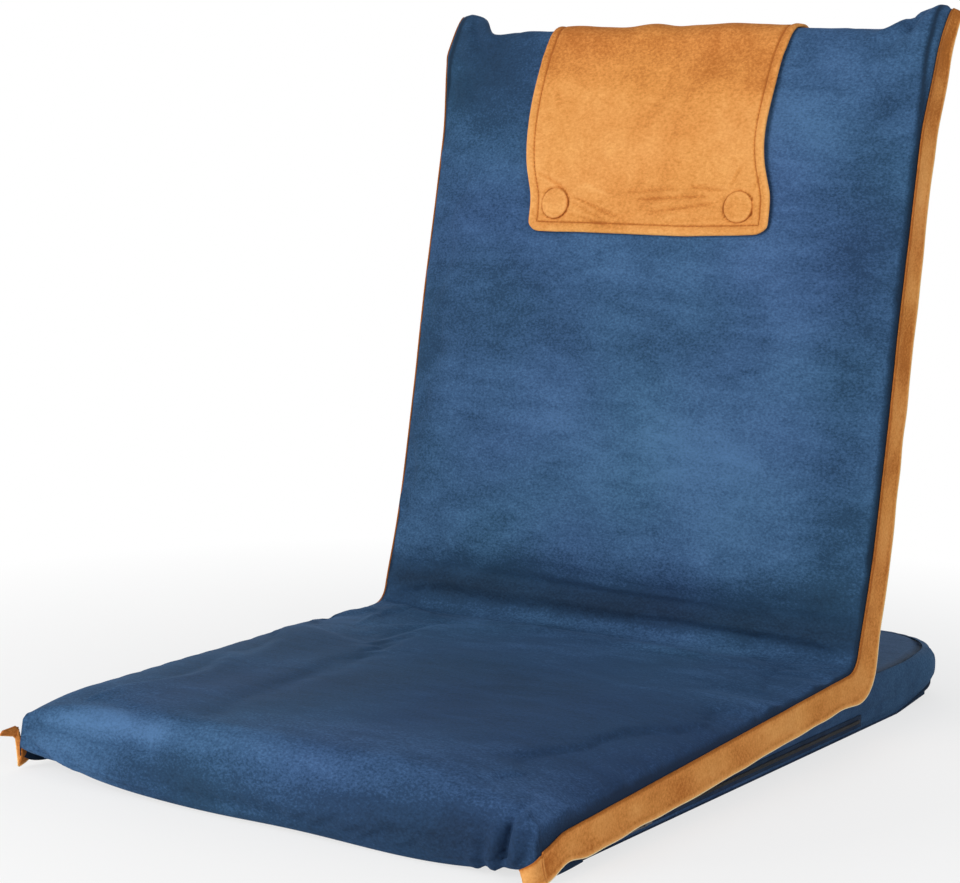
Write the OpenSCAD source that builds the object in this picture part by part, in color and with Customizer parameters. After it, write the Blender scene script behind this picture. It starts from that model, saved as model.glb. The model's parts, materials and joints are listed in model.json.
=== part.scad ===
// Folding floor chair: padded seat and back on steel tube frames, joined by two
// ratchet hinges, with a flat foot that reaches out behind the back.
// X to the right, Y to the rear, Z up. The origin lies on the floor, in the
// middle of the chair's width and of its footprint.

/* [Chair] */
// Width of the chair over its side bands
chair_w = 450; // [420:1:500]
// Height of the fold axis above the floor
pivot_h = 43; // [42:0.5:46]
// Distance of the fold axis behind the middle of the footprint
pivot_y = 124; // [100:1:150]
// Rise of the seat to the rear, in degrees
seat_slope = 3.3; // [2.8:0.1:3.5]
// Lean of the back from upright, in degrees
back_lean = 11.3; // [5:0.1:16]
// Fold axis to the seam at the front of the seat
seat_reach = 446; // [420:1:460]
// Fold axis to the seam at the top of the back
back_reach = 497; // [460:1:540]
// Angle left between seat and back when folded, in degrees
fold_gap_deg = 16; // [15:1:20]

/* [Frames] */
// Diameter of the frame tubes
tube_d = 16; // [15:0.5:16.5]
// Wall of the frame tubes
tube_wall = 1.5; // [1:0.1:2]
// Radius of the frame corners, on the tube's centre line
corner_r = 45; // [30:1:60]
// Side of the chair to the centre line of the rails
rail_inset = 19; // [18.5:0.5:24]
// Diameter of the cross tubes
cross_d = 14; // [10:0.5:15]
// Fold axis to the open ends of the rails
rail_start = 70; // [60:1:74]
// Fold axis to the back's cross tube
back_cross_reach = 114; // [112:1:118]
// Width of one seat strap
seat_strap_w = 36; // [25:1:38]
// Fold axis to the first seat strap
seat_strap_start = 152; // [150:1:155]
// From one seat strap to the next
seat_strap_pitch = 53.5; // [53:0.5:56]
// Least distance from the last seat strap to the seam at the front
seat_strap_end = 80; // [78:1:90]
// Width of one back strap
back_strap_w = 40; // [25:1:44]
// Fold axis to the first back strap
back_strap_start = 128; // [122:1:135]
// Seam at the top of the back to its last strap
back_strap_end = 89; // [80:1:110]
// Number of straps in the back
strap_count = 5; // [3:1:5]
// Thickness of the straps
strap_t = 1.2; // [0.8:0.1:1.4]

/* [Foot] */
// Fold axis to the rear end of the foot
foot_reach = 207; // [180:1:220]
// Seam at the front of the seat to the front end of the foot
foot_setback = 57; // [50:1:80]
// Fold axis to the end of the foot's flat bottom
foot_flat_reach = 83; // [60:1:100]
// Side of the chair to the side of the foot
foot_inset = 8; // [7:0.5:9]
// Height of the top of the foot behind the back
foot_top_h = 39; // [37:0.5:40]
// Height of the underside of the foot at its rear end
foot_toe_h = 11; // [8:0.5:12]
// Radius of the foot's rear corners, seen from above
foot_corner_r = 62; // [50:1:75]
// Height of the foot tube's centre line
foot_tube_h = 20; // [19.8:0.1:20.2]
// Length of the foot rails in front of the fold axis
foot_rail_reach = 194; // [190:1:197]
// Fold axis to the front bolts of the foot
bolt_front_reach = 181; // [180:0.5:183]
// Fold axis to the rear bolts of the foot
bolt_rear_reach = 124; // [122:0.5:126]
// Diameter of the foot bolts
bolt_d = 5; // [4:0.5:6]

/* [Hinges] */
// Outer radius of the hinge cheeks
hub_r = 10.5; // [10.2:0.1:10.7]
// Thickness of the hinge cheeks
cheek_t = 1.5; // [1.2:0.1:1.5]
// Diameter of the hinge pins
pin_d = 6; // [5:0.5:6.5]
// Thickness of the ratchet arms and pawls
arm_t = 4; // [3:0.5:4]
// Radius over the ratchet teeth
tooth_r = 9.4; // [9.3:0.05:9.5]
// Radius of the smooth part of the ratchet
root_r = 7.2; // [6.9:0.1:7.4]
// Radius of the hollow in the foot below the hinges
hub_room_r = 12.5; // [12:0.1:14]
// Angle between two backrest positions, in degrees
step_deg = 18; // [17:0.5:19]
// Positions more upright than the one shown
steps_up = 1; // [1:1:1]
// Positions more reclined than the one shown
steps_down = 3; // [1:1:3]
// Distance of the pawl pins in front of the fold axis
pawl_reach = 24; // [23.5:0.1:24.5]
// Distance of the pawl pins below the fold axis
pawl_drop = 4.5; // [4.4:0.1:4.7]
// Swing of a pawl into its notch, in degrees
pawl_swing = 6; // [5.5:0.5:6.5]

/* [Cushions] */
// Height of the side bands
band_w = 22; // [21:0.5:22.5]
// Thickness of the side bands
band_t = 1.2; // [0.8:0.1:1.3]
// Rise of the seat cushion over its seam, at the front
seat_rise = 29; // [20:0.5:32]
// Radius of the front shoulder of the seat
shoulder_r = 16; // [10:0.5:20]
// Bulge of the front of the seat
front_bulge = 6; // [3:0.5:8]
// Crown of the back cushion
back_crown = 13; // [9:0.5:14]
// Length over which the crown of the back builds up
crown_run = 280; // [200:5:300]
// Rise of the back's top edge between the ears
top_rise = 9; // [5:0.5:12]
// Height of the ears over the top seam
ear_h = 28; // [15:1:32]
// Distance that the sides of the cushions draw in
draw_in = 4; // [1:0.5:5]
// Thickness of the velvet cover with its wadding
cover_t = 1.8; // [1.2:0.1:2]
// Fold axis to the lower edge of the back's rear panel
rear_panel_start = 20; // [19.5:0.5:24]

/* [Head flap] */
// Width of the flap at the top edge
flap_top_w = 236; // [200:1:250]
// Width of the flap at its lower edge
flap_low_w = 218; // [190:1:240]
// Fold axis to the lower edge of the flap
flap_low_reach = 333; // [320:1:360]
// Thickness of the flap
flap_t = 2.4; // [1.8:0.1:2.8]
// Space between the flap and the back, filled by the snaps
flap_gap = 2; // [1.8:0.1:2.4]
// Diameter of the covered buttons
button_d = 25; // [20:0.5:28]
// Rise of the covered buttons
button_rise = 3; // [2:0.1:4]
// Middle of the chair to the buttons
button_x = 85.5; // [75:0.5:90]
// Lower edge of the flap to the buttons
button_up = 21.5; // [17:0.5:27]

/* [Carry handle] */
// Side of the chair to the middle of the handle
handle_inset = 17; // [16:0.5:30]
// Fold axis to the middle of the handle
handle_reach = 263; // [240:1:290]
// Distance between the sewn ends of the handle
handle_chord = 110; // [90:1:120]
// Height of the handle's bow
handle_bow = 20; // [14:0.5:26]
// Width of the webbing in the handle
handle_w = 18; // [12:0.5:20]
// Thickness of the handle
handle_t = 2; // [1.5:0.1:2.5]

/* [Zip] */
// Front end of the foot to the front end of the zip
zip_setback = 66; // [60:1:90]
// Length of the zip
zip_l = 334; // [300:1:340]
// Height of the zip over the floor
zip_h = 9; // [8:0.1:9.2]
// Width of the zip tape
tape_w = 9; // [7:0.5:10]
// Length of the zip slider
slider_l = 9; // [8:0.5:12]
// Length of the pull tab
pull_l = 24; // [18:0.5:28]

/* [Hidden] */
$fn = 48;

// Overrun of cuts, clearances and gaps
over = 1;
fit = 0.05;
soft_gap = 0.3;
notch_gap = 0.15;

// Sizes that follow from the ones above
half_w = chair_w / 2;
tube_r = tube_d / 2;
rail_x = half_w - rail_inset;
band_half = band_w / 2;
cover_half = half_w - 2 * band_t - 2.5 * soft_gap;
opening_deg = 90 + back_lean + seat_slope;
fold_slope = tan(fold_gap_deg / 2);
pad_base = tube_r + strap_t + 2 * soft_gap;
crease = band_half / tan(opening_deg / 2);
cushion_start = (band_half + 3 * soft_gap) / fold_slope;
foam_gap = 4 * soft_gap;
foam_edge_t = 1;
foam_start = (pad_base + cover_t + foam_gap + foam_edge_t + 1.3 * soft_gap) / fold_slope;
seat_strap_run = seat_reach - seat_strap_end - seat_strap_start;
seat_strap_count = 1 + floor((seat_strap_run + over) / seat_strap_pitch);
back_strap_pitch = (back_reach - back_strap_end - back_strap_start) / (strap_count - 1);
seat_cross_reach = seat_strap_start + 1.5 * seat_strap_pitch;
seat_front_bar = seat_reach - 2 * tube_r;
back_top_bar = back_reach - band_half;
foot_half = half_w - foot_inset;
foot_front = seat_reach - foot_setback;
button_reach = flap_low_reach + button_up;
foot_end_r = (foot_top_h - foot_toe_h) / 2;
foot_bar_end = foot_reach - foot_end_r + tube_r / 2;
foot_tilt = atan2(foot_toe_h + foot_end_r - foot_tube_h, foot_bar_end);
foot_end_y = pivot_y + foot_reach;
foot_front_y = pivot_y - foot_front;
zip_front = foot_front - zip_setback;
handle_x = half_w - handle_inset;

// Bars, tubes and plates

module rod_x(x0, x1, r) {
  translate([x0, 0, 0])
    rotate([0, 90, 0])
      cylinder(r = r, h = x1 - x0);
}

module rod_y(y0, y1, r) {
  translate([0, y0, 0])
    rotate([-90, 0, 0])
      cylinder(r = r, h = y1 - y0);
}

module at(x = 0, y = 0, z = 0) {
  translate([x, y, z])
    children();
}

// Quarter bend in the XY plane, about the origin, from +X to +Y
module elbow(bend, r) {
  rotate_extrude(angle = 90)
    translate([bend, 0])
      circle(r = r);
}

// Bar bent to a U in the XY plane, open at y_open and closed at -y_end
module loop_bar(x, y_open, y_end, bend, r) {
  for (side = [-1, 1])
    at(x = side * x)
      rod_y(bend - y_end, y_open, r);
  at(x = x - bend, y = bend - y_end)
    rotate([0, 0, -90])
      elbow(bend, r);
  at(x = bend - x, y = bend - y_end)
    rotate([0, 0, 180])
      elbow(bend, r);
  at(y = -y_end)
    rod_x(bend - x, x - bend, r);
}

// Flat plate across X, drawn with its outline's axes along Y and Z
module plate(x0, t) {
  translate([x0, 0, 0])
    rotate([90, 0, 90])
      linear_extrude(t)
        children();
}

module both_sides() {
  children();
  mirror([1, 0, 0])
    children();
}

// Frames of the seat and of the back: origin on the fold axis, the seat's
// front towards -Y of the first and the back's top towards +Z of the second
module at_seat() {
  translate([0, pivot_y, pivot_h])
    rotate([seat_slope, 0, 0])
      children();
}

module at_back() {
  translate([0, pivot_y, pivot_h])
    rotate([-back_lean, 0, 0])
      children();
}

// Upright bar in the back's frame turned from a bar in the XY plane
module stand_up() {
  rotate([-90, 0, 0])
    children();
}

function arc(cx, cy, r, a0, a1, n) =
  [for (i = [0:n]) let (a = a0 + (a1 - a0) * i / n) [cx + r * cos(a), cy + r * sin(a)]];

function seat_to_chair(p) = [
  pivot_y + p[0] * cos(seat_slope) - p[1] * sin(seat_slope),
  pivot_h + p[0] * sin(seat_slope) + p[1] * cos(seat_slope)
];

function back_to_chair(p) = [
  pivot_y + p[0] * cos(back_lean) + p[1] * sin(back_lean),
  pivot_h - p[0] * sin(back_lean) + p[1] * cos(back_lean)
];

function turn(p, c, a) = [
  c[0] + (p[0] - c[0]) * cos(a) - (p[1] - c[1]) * sin(a),
  c[1] + (p[0] - c[0]) * sin(a) + (p[1] - c[1]) * cos(a)
];

// Seat frame

module seat_rail_bar(r, extra = 0) {
  loop_bar(rail_x, extra - rail_start, seat_front_bar, corner_r, r);
}

// Distance of the foot tube's centre line below the seat rails'
function foot_drop(reach) = pivot_h - foot_tube_h - reach * tan(seat_slope - foot_tilt);

module foot_bolt_holes(r) {
  for (reach = [bolt_front_reach, bolt_rear_reach])
    for (side = [-1, 1])
      at(x = side * rail_x, y = -reach, z = -pivot_h)
        cylinder(r = r, h = 2 * pivot_h);
}

module bracket_rivet_bars(r, reach_out) {
  for (reach = bracket_rivet_reaches)
    for (side = [-1, 1])
      at(x = side * rail_x, y = -reach)
        rod_x(-reach_out, reach_out, r);
}

bracket_end = rail_start + 5.4 * tube_r;
bracket_rivet_reaches = [rail_start + 1.5 * tube_r, bracket_end - 1.5 * tube_r];
rivet_r = 2.5;
rivet_head_r = 4;
rivet_head_t = 1.5;

module seat_frame_tube() {
  color("dimgray")
    at_seat()
      difference() {
        seat_rail_bar(tube_r);
        seat_rail_bar(tube_r - tube_wall, over);
        foot_bolt_holes(bolt_d / 2 + fit);
        bracket_rivet_bars(rivet_r + fit, 2 * tube_r);
      }
}

module cross_tube(hole_over) {
  difference() {
    rod_x(-rail_x, rail_x, cross_d / 2);
    rod_x(-rail_x - hole_over, rail_x + hole_over, cross_d / 2 - tube_wall);
    for (side = [-1, 1])
      at(x = side * rail_x)
        rod_y(-2 * tube_r, 2 * tube_r, tube_r);
  }
}

module seat_cross_tube() {
  color("dimgray")
    at_seat()
      at(y = -seat_cross_reach)
        cross_tube(over);
}

// Strap across two rails that run along Y, hooked over the outer side of both
module strap(w) {
  hook_r = tube_r + fit;
  at(x = -rail_x, y = -w / 2, z = hook_r)
    cube([2 * rail_x, w, strap_t]);
  both_sides()
    at(x = rail_x)
      difference() {
        rod_y(-w / 2, w / 2, hook_r + strap_t);
        rod_y(-w, w, hook_r);
        at(x = -2 * tube_r, y = -w, z = -2 * tube_r)
          cube([2 * tube_r, 2 * w, 4 * tube_r]);
        at(x = -2 * tube_r, y = -w, z = -2.5 * tube_r)
          cube([4 * tube_r, 2 * w, 2 * tube_r]);
      }
}

module seat_webbing() {
  color("black")
    at_seat()
      for (i = [0:seat_strap_count - 1])
        at(y = -seat_strap_start - i * seat_strap_pitch)
          strap(seat_strap_w);
}

// Foot frame

// Frame of the foot: on the foot tube's centre line, below the fold axis
module at_foot() {
  translate([0, pivot_y, foot_tube_h])
    rotate([foot_tilt, 0, 0])
      children();
}

// Bar of the foot: a U closed at the rear, whose legs run on under the seat
module foot_bar(r, extra = 0) {
  at_foot()
    rotate([0, 0, 180])
      loop_bar(rail_x, foot_rail_reach + extra, foot_bar_end, foot_corner_r - tube_r / 2, r);
}

module foot_frame_tube() {
  color("dimgray")
    difference() {
      foot_bar(tube_r);
      foot_bar(tube_r - tube_wall, over);
      at_seat()
        foot_bolt_holes(bolt_d / 2 + fit);
    }
}

plug_flange = 1.6;
plug_depth = 10;

module foot_end_plugs() {
  color("black")
    at_foot()
      for (side = [-1, 1])
        at(x = side * rail_x) {
          rod_y(-foot_rail_reach - plug_flange, -foot_rail_reach, tube_r);
          rod_y(-foot_rail_reach, -foot_rail_reach + plug_depth, tube_r - tube_wall - fit);
        }
}

module foot_spacers() {
  spacer_r = 0.85 * tube_r;
  color("black")
    difference() {
      at_seat()
        for (reach = [bolt_front_reach, bolt_rear_reach])
          for (side = [-1, 1])
            at(x = side * rail_x, y = -reach, z = -foot_drop(reach))
              cylinder(r = spacer_r, h = foot_drop(reach));
      at_seat() {
        seat_rail_bar(tube_r + fit);
        foot_bolt_holes(bolt_d / 2 + fit);
        at(x = -half_w, y = -foot_front)
          cube([chair_w, foot_front, tube_r]);
      }
      foot_bar(tube_r + fit);
      at_foot()
        at(x = -half_w, y = -foot_front, z = -tube_r)
          cube([chair_w, foot_front, tube_r]);
    }
}

bolt_head_t = 1.4;
nut_t = 2.4;
nut_gap = 4 * fit;

module foot_bolts() {
  color("silver")
    at_seat()
      for (reach = [bolt_front_reach, bolt_rear_reach])
        for (side = [-1, 1])
          at(x = side * rail_x, y = -reach, z = tube_r + fit) {
            cylinder(r = bolt_d, h = bolt_head_t);
            at(z = -foot_drop(reach) - 2 * tube_r - nut_t - nut_gap)
              cylinder(r = bolt_d / 2, h = foot_drop(reach) + 2 * tube_r + nut_t + nut_gap);
          }
}

module foot_nuts() {
  color("silver")
    at_seat()
      for (reach = [bolt_front_reach, bolt_rear_reach])
        for (side = [-1, 1])
          at(x = side * rail_x, y = -reach, z = -foot_drop(reach) - tube_r - nut_t - nut_gap)
            difference() {
              cylinder(r = bolt_d, h = nut_t, $fn = 6);
              at(z = -over)
                cylinder(r = bolt_d / 2 + fit, h = nut_t + 2 * over);
            }
}

// Foot padding and cover

under_seat = tube_r + strap_t + soft_gap;

// Side outline of the foot, drawn in by t
function foot_outline(t) = concat(
  [
    [foot_front_y + t, t],
    [pivot_y + foot_flat_reach, t]
  ],
  arc(foot_end_y - foot_end_r, foot_toe_h + foot_end_r, foot_end_r - t, -90, 90, 12),
  arc(pivot_y, pivot_h, hub_room_r + t,
      -asin((pivot_h - foot_top_h + t) / (hub_room_r + t)),
      -180 + seat_slope + asin((under_seat + t) / (hub_room_r + t)), 14),
  [[foot_front_y + t, pivot_h - (foot_front - t) * tan(seat_slope) - (under_seat + t) / cos(seat_slope)]]
);

// Outline of the foot seen from above, drawn in by t
module foot_plan(t) {
  x = foot_half - t;
  y_end = foot_end_y - t;
  r = foot_corner_r - t;
  translate([-x, foot_front_y + t])
    square([2 * x, y_end - r - foot_front_y - t]);
  translate([r - x, y_end - 2 * r])
    square([2 * (x - r), 2 * r]);
  for (side = [-1, 1])
    translate([side * (x - r), y_end - r])
      circle(r = r);
}

module foot_form(t) {
  intersection() {
    plate(-half_w, chair_w)
      polygon(foot_outline(t));
    translate([0, 0, -over])
      linear_extrude(2 * pivot_h)
        foot_plan(t);
  }
}

panel_t = 1.2;

// Slab below the padding that holds the bottom panel
module bottom_layer(t) {
  plate(-half_w, chair_w)
    polygon([
      [foot_front_y - over, -over],
      [foot_front_y - over, t],
      [pivot_y + foot_flat_reach, t],
      [foot_end_y - foot_end_r, foot_toe_h + t],
      [foot_end_y - foot_end_r, -over]
    ]);
}

module foot_bottom_panel() {
  color("#22262e")
    intersection() {
      foot_form(0);
      bottom_layer(panel_t);
    }
}

module foot_cover() {
  color("#2c4561")
    difference() {
      foot_form(0);
      foot_form(panel_t);
      bottom_layer(panel_t + soft_gap);
      at_seat()
        at(x = 2 * panel_t - foot_half, y = -2 * foot_front, z = -under_seat - 2 * panel_t)
          cube([2 * foot_half - 4 * panel_t, 2 * foot_front - 2 * hub_room_r, 2 * pivot_h]);
    }
}

// Lining between the foot's front end and the front of the seat
module seat_underside_panel() {
  start = foot_front + 2 * panel_t;
  color("#2c4561")
    at_seat()
      at(x = -foot_half, y = cover_t + soft_gap - seat_reach, z = -under_seat - panel_t)
        cube([2 * foot_half, seat_reach - cover_t - soft_gap - start, panel_t]);
}

module foot_foam() {
  room = tube_r + soft_gap;
  color("#e8dfb8")
    difference() {
      foot_form(panel_t + soft_gap);
      foot_bar(room, 2 * plug_flange);
      at_seat()
        for (reach = [bolt_front_reach, bolt_rear_reach])
          for (side = [-1, 1])
            at(x = side * rail_x, y = -reach, z = -pivot_h)
              cylinder(r = room, h = 2 * pivot_h);
    }
}

// Zip in the right side of the foot

tape_t = 0.8;
coil_r = 1;
zip_y0 = pivot_y - zip_front;
tape_x = foot_half + fit;
stop_l = 3;

module zip_tape() {
  color("#1d2a3c") {
    at(x = tape_x, y = zip_y0 - stop_l, z = zip_h - tape_w / 2)
      cube([tape_t, zip_l + 2 * stop_l, tape_w]);
    for (y = [zip_y0 - stop_l, zip_y0 + zip_l])
      at(x = tape_x, y = y, z = zip_h - 2 * coil_r)
        cube([tape_t + 2 * coil_r, stop_l, 4 * coil_r]);
  }
}

module zip_coil() {
  color("#16202e")
    difference() {
      at(x = tape_x + tape_t + fit, z = zip_h)
        rod_y(zip_y0 + fit, zip_y0 + zip_l - fit, coil_r);
      at(x = tape_x - 2 * coil_r, y = zip_y0 - over, z = 0)
        cube([2 * coil_r + tape_t + fit, zip_l + 2 * over, 2 * zip_h]);
    }
}

slider_w = 7;
slider_t = 1.2;
slider_gap = 0.2;
slider_room = coil_r + slider_gap;
slider_x = tape_x + tape_t + fit;
bridge_w = 2.4;
bridge_h = 3.2;

// Slider: a plate over the coil with side flanges and a bridge for the pull
module zip_slider() {
  color("silver")
    at(x = slider_x + fit, y = zip_y0 + stop_l / 2, z = zip_h) {
      difference() {
        at(z = -slider_w / 2)
          cube([slider_room + slider_t, slider_l, slider_w]);
        at(x = -over, y = -over, z = -slider_room)
          cube([slider_room + over, slider_l + 2 * over, 2 * slider_room]);
      }
      at(x = slider_room + slider_t, z = -bridge_w / 2)
        difference() {
          cube([bridge_h, slider_l, bridge_w]);
          at(x = -over, y = bridge_w / 2, z = -over)
            cube([bridge_h - slider_t + over, slider_l - bridge_w, bridge_w + 2 * over]);
        }
    }
}

pull_w = 5;
pull_t = 1.2;
pull_pin_r = 0.6;
pull_x = slider_x + fit + slider_room + slider_t + pull_pin_r + fit;
pull_y = zip_y0 + stop_l / 2 + bridge_w / 2 + pull_pin_r + 4 * fit;

// Pull tab: its cross bar lies in the slider's bridge, its blade points to the front
module zip_pull() {
  eye_half = bridge_w / 2 + 6 * fit;
  eye_l = 0.9 * slider_l;
  color("silver")
    at(x = pull_x, y = pull_y, z = zip_h) {
      at(z = -pull_w / 2)
        cylinder(r = pull_pin_r, h = pull_w);
      difference() {
        at(x = -pull_t / 2, y = -pull_l, z = -pull_w / 2)
          cube([pull_t, pull_l, pull_w]);
        at(x = -pull_t, y = -eye_l, z = -eye_half)
          cube([2 * pull_t, eye_l + 2 * pull_pin_r, 2 * eye_half]);
      }
    }
}

// Hinges

module cheek() {
  difference() {
    union() {
      circle(r = hub_r);
      translate([-bracket_end, -tube_r])
        square([bracket_end, 2 * tube_r]);
    }
    circle(r = pin_d / 2 + fit);
    translate([-pawl_reach, -pawl_drop])
      circle(r = pawl_pin_r + fit);
    for (reach = bracket_rivet_reaches)
      translate([-reach, 0])
        circle(r = rivet_r + fit);
  }
}

pawl_pin_r = 2;
pin_head_r = 5;
pin_head_t = 1.2;

// Channel that saddles the rail's end and holds the hub between its cheeks
module hinge_bracket() {
  at_seat() {
    for (x0 = [rail_x - tube_r - fit - cheek_t, rail_x + tube_r + fit])
      plate(x0, cheek_t)
        cheek();
    at(x = rail_x - tube_r - fit - cheek_t, y = -bracket_end, z = tube_r + fit)
      cube([2 * (tube_r + fit + cheek_t), bracket_end - rail_start, cheek_t - 2 * fit]);
    for (x0 = [rail_x - tube_r - fit - cheek_t, rail_x + tube_r + fit])
      at(x = x0, y = -bracket_end, z = 0)
        cube([cheek_t, 0.3 * tube_r, tube_r + 2 * fit]);
    for (x0 = [rail_x - tube_r - fit - cheek_t, rail_x + tube_r + fit])
      at(x = x0, y = -bracket_end, z = tube_r - fit)
        cube([cheek_t, bracket_end - rail_start, 2 * fit]);
  }
}

module hinge_bracket_right() {
  color("silver")
    hinge_bracket();
}

module hinge_bracket_left() {
  color("silver")
    mirror([1, 0, 0])
      hinge_bracket();
}

module headed_pin(r, head_r, head_t, reach_out) {
  rod_x(-reach_out, reach_out, r);
  rod_x(-reach_out - head_t, -reach_out, head_r);
  rod_x(reach_out, reach_out + head_t, head_r);
}

pin_reach = tube_r + cheek_t + 2 * fit;

module hinge_pin() {
  at_seat()
    at(x = rail_x)
      headed_pin(pin_d / 2, pin_head_r, pin_head_t, pin_reach);
}

module hinge_pin_right() {
  color("silver")
    hinge_pin();
}

module hinge_pin_left() {
  color("silver")
    mirror([1, 0, 0])
      hinge_pin();
}

module bracket_rivets() {
  color("silver")
    at_seat()
      for (reach = bracket_rivet_reaches)
        for (side = [-1, 1])
          at(x = side * rail_x, y = -reach)
            headed_pin(rivet_r, rivet_head_r, rivet_head_t, pin_reach);
}

module pawl_pins() {
  color("silver")
    at_seat()
      for (side = [-1, 1])
        at(x = side * rail_x, y = -pawl_reach, z = -pawl_drop)
          headed_pin(pawl_pin_r, 1.6 * pawl_pin_r, pin_head_t, pin_reach);
}

// Pawl and ratchet, drawn in the seat's frame with the pawl just clear of the teeth

pawl_at = [-pawl_reach, -pawl_drop];
nose_deg = 225;
nose_half_deg = 3;
nose_flank_deg = 200;
nose_l = 2.3;
nose_gap = 0.35;
nose_r = tooth_r + nose_gap;
pawl_boss_r = 3.6;
nose_top = nose_r * [cos(nose_deg - nose_half_deg), sin(nose_deg - nose_half_deg)];
nose_low = nose_r * [cos(nose_deg + nose_half_deg), sin(nose_deg + nose_half_deg)];
nose_throat = nose_top + nose_l * [cos(nose_flank_deg), sin(nose_flank_deg)];
shoulder_shares = [-1.26, -0.37];
heel_shares = [-0.913, -0.938];

module pawl_outline() {
  difference() {
    union() {
      translate(pawl_at)
        circle(r = pawl_boss_r);
      polygon([
        pawl_at + [0, pawl_boss_r],
        nose_r * shoulder_shares,
        nose_throat,
        nose_top,
        nose_low,
        nose_r * heel_shares,
        pawl_at + [0, -0.99 * pawl_boss_r]
      ]);
    }
    translate(pawl_at)
      circle(r = pawl_pin_r + fit);
  }
}

collar_half = tube_r - 2 * fit;

module pawl() {
  at_seat()
    at(x = rail_x) {
      plate(-arm_t / 2, arm_t)
        pawl_outline();
      plate(-collar_half, 2 * collar_half)
        difference() {
          translate(pawl_at)
            circle(r = 1.6 * pawl_pin_r);
          translate(pawl_at)
            circle(r = pawl_pin_r + fit);
        }
    }
}

module pawl_right() {
  color("gray")
    pawl();
}

module pawl_left() {
  color("gray")
    mirror([1, 0, 0])
      pawl();
}

// Notch that the swinging nose sweeps out, for the position that is shown
notch_in = notch_gap * [cos(nose_deg), sin(nose_deg)];
notch_side = notch_gap * [sin(nose_deg), -cos(nose_deg)];

function notch_points() = [
  turn(nose_throat, pawl_at, pawl_swing) + notch_side,
  turn(nose_top, pawl_at, pawl_swing) + notch_side - notch_in,
  turn(nose_low, pawl_at, pawl_swing) - notch_side - notch_in,
  nose_low - 1.5 * notch_side + 2 * notch_in
];

module pie(a0, a1, r) {
  polygon(concat([[0, 0]], arc(0, 0, r, a0, a1, 16)));
}

module ratchet_outline() {
  free_to = nose_deg - steps_up * step_deg;
  difference() {
    circle(r = tooth_r);
    difference() {
      pie(180 - opening_deg + 2 * step_deg, free_to, 2 * tooth_r);
      circle(r = root_r);
    }
    for (k = [-steps_down:steps_up])
      rotate([0, 0, -k * step_deg])
        polygon(notch_points());
  }
}

neck_front = 3.5;
tongue_half = 5.8;
neck_end = 30;

// Arm drawn in the back's frame, from the hub into the end of the back rail
module arm_outline() {
  polygon([
    [-neck_front, 0],
    [tongue_half, 0],
    [tongue_half, rail_start + arm_in_tube],
    [-tongue_half, rail_start + arm_in_tube],
    [-tongue_half, neck_end + 2 * neck_front],
    [-neck_front, neck_end]
  ]);
}

arm_in_tube = 34;
arm_rivet_start = 9;
arm_rivet_pitch = 16;
arm_rivet_reaches = [rail_start + arm_rivet_start, rail_start + arm_rivet_start + arm_rivet_pitch];

module ratchet_arm() {
  at_seat()
    at(x = rail_x)
      difference() {
        union() {
          plate(-arm_t / 2, arm_t) {
            ratchet_outline();
            rotate(-back_lean - seat_slope)
              difference() {
                arm_outline();
                for (reach = arm_rivet_reaches)
                  translate([0, reach])
                    circle(r = rivet_r + fit);
              }
          }
          plate(-collar_half, 2 * collar_half)
            circle(r = 0.75 * root_r);
        }
        rod_x(-2 * tube_r, 2 * tube_r, pin_d / 2 + fit);
      }
}

module ratchet_arm_right() {
  color("gray")
    ratchet_arm();
}

module ratchet_arm_left() {
  color("gray")
    mirror([1, 0, 0])
      ratchet_arm();
}

module arm_rivets() {
  color("silver")
    at_back()
      for (reach = arm_rivet_reaches)
        for (side = [-1, 1])
          at(x = side * rail_x, z = reach)
            headed_pin(rivet_r, rivet_head_r, rivet_head_t, tube_r + fit);
}

spring_wire_r = 0.4;
spring_r = 1.6 * pawl_pin_r + spring_wire_r + 2 * fit;
spring_turns = 4;
spring_leg = 12;

// Torsion spring round the pawl's collar, with a leg to the front
module pawl_spring() {
  at_seat()
    at(x = rail_x + arm_t / 2 + 3 * spring_wire_r, y = -pawl_reach, z = -pawl_drop) {
      for (i = [0:spring_turns - 1])
        at(x = 1.9 * i * spring_wire_r)
          rotate([0, 90, 0])
            rotate_extrude()
              translate([spring_r, 0])
                circle(r = spring_wire_r);
      at(x = 1.9 * (spring_turns - 1) * spring_wire_r, z = spring_r)
        rod_y(-spring_leg, 0, spring_wire_r);
    }
}

module pawl_spring_right() {
  color("silver")
    pawl_spring();
}

module pawl_spring_left() {
  color("silver")
    mirror([1, 0, 0])
      pawl_spring();
}

// Back frame

module back_rail_bar(r, extra = 0) {
  stand_up()
    loop_bar(rail_x, extra - rail_start, back_top_bar, corner_r, r);
}

module back_frame_tube() {
  color("dimgray")
    at_back()
      difference() {
        back_rail_bar(tube_r);
        back_rail_bar(tube_r - tube_wall, over);
        for (reach = arm_rivet_reaches)
          for (side = [-1, 1])
            at(x = side * rail_x, z = reach)
              rod_x(-2 * tube_r, 2 * tube_r, rivet_r + fit);
      }
}

module back_cross_tube() {
  color("dimgray")
    at_back()
      stand_up()
        at(y = -back_cross_reach)
          cross_tube(over);
}

module back_webbing() {
  color("black")
    at_back()
      for (i = [0:strap_count - 1])
        at(z = back_strap_start + i * back_strap_pitch)
          rotate([90, 0, 0])
            strap(back_strap_w);
}

// Side bands

// Corners of the band's cut end past the front seam, as shares of half its height
band_end_shares = [[-0.9, 1], [0.9, 1.1], [0.54, -1], [0, -1]];

module seat_band() {
  at_seat()
    plate(half_w - band_t, band_t) {
      circle(r = band_half);
      polygon(concat(
        [[0, -band_half], [0, band_half]],
        [for (s = band_end_shares) [-seat_reach - s[0] * band_half, s[1] * band_half]]
      ));
    }
}

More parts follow.
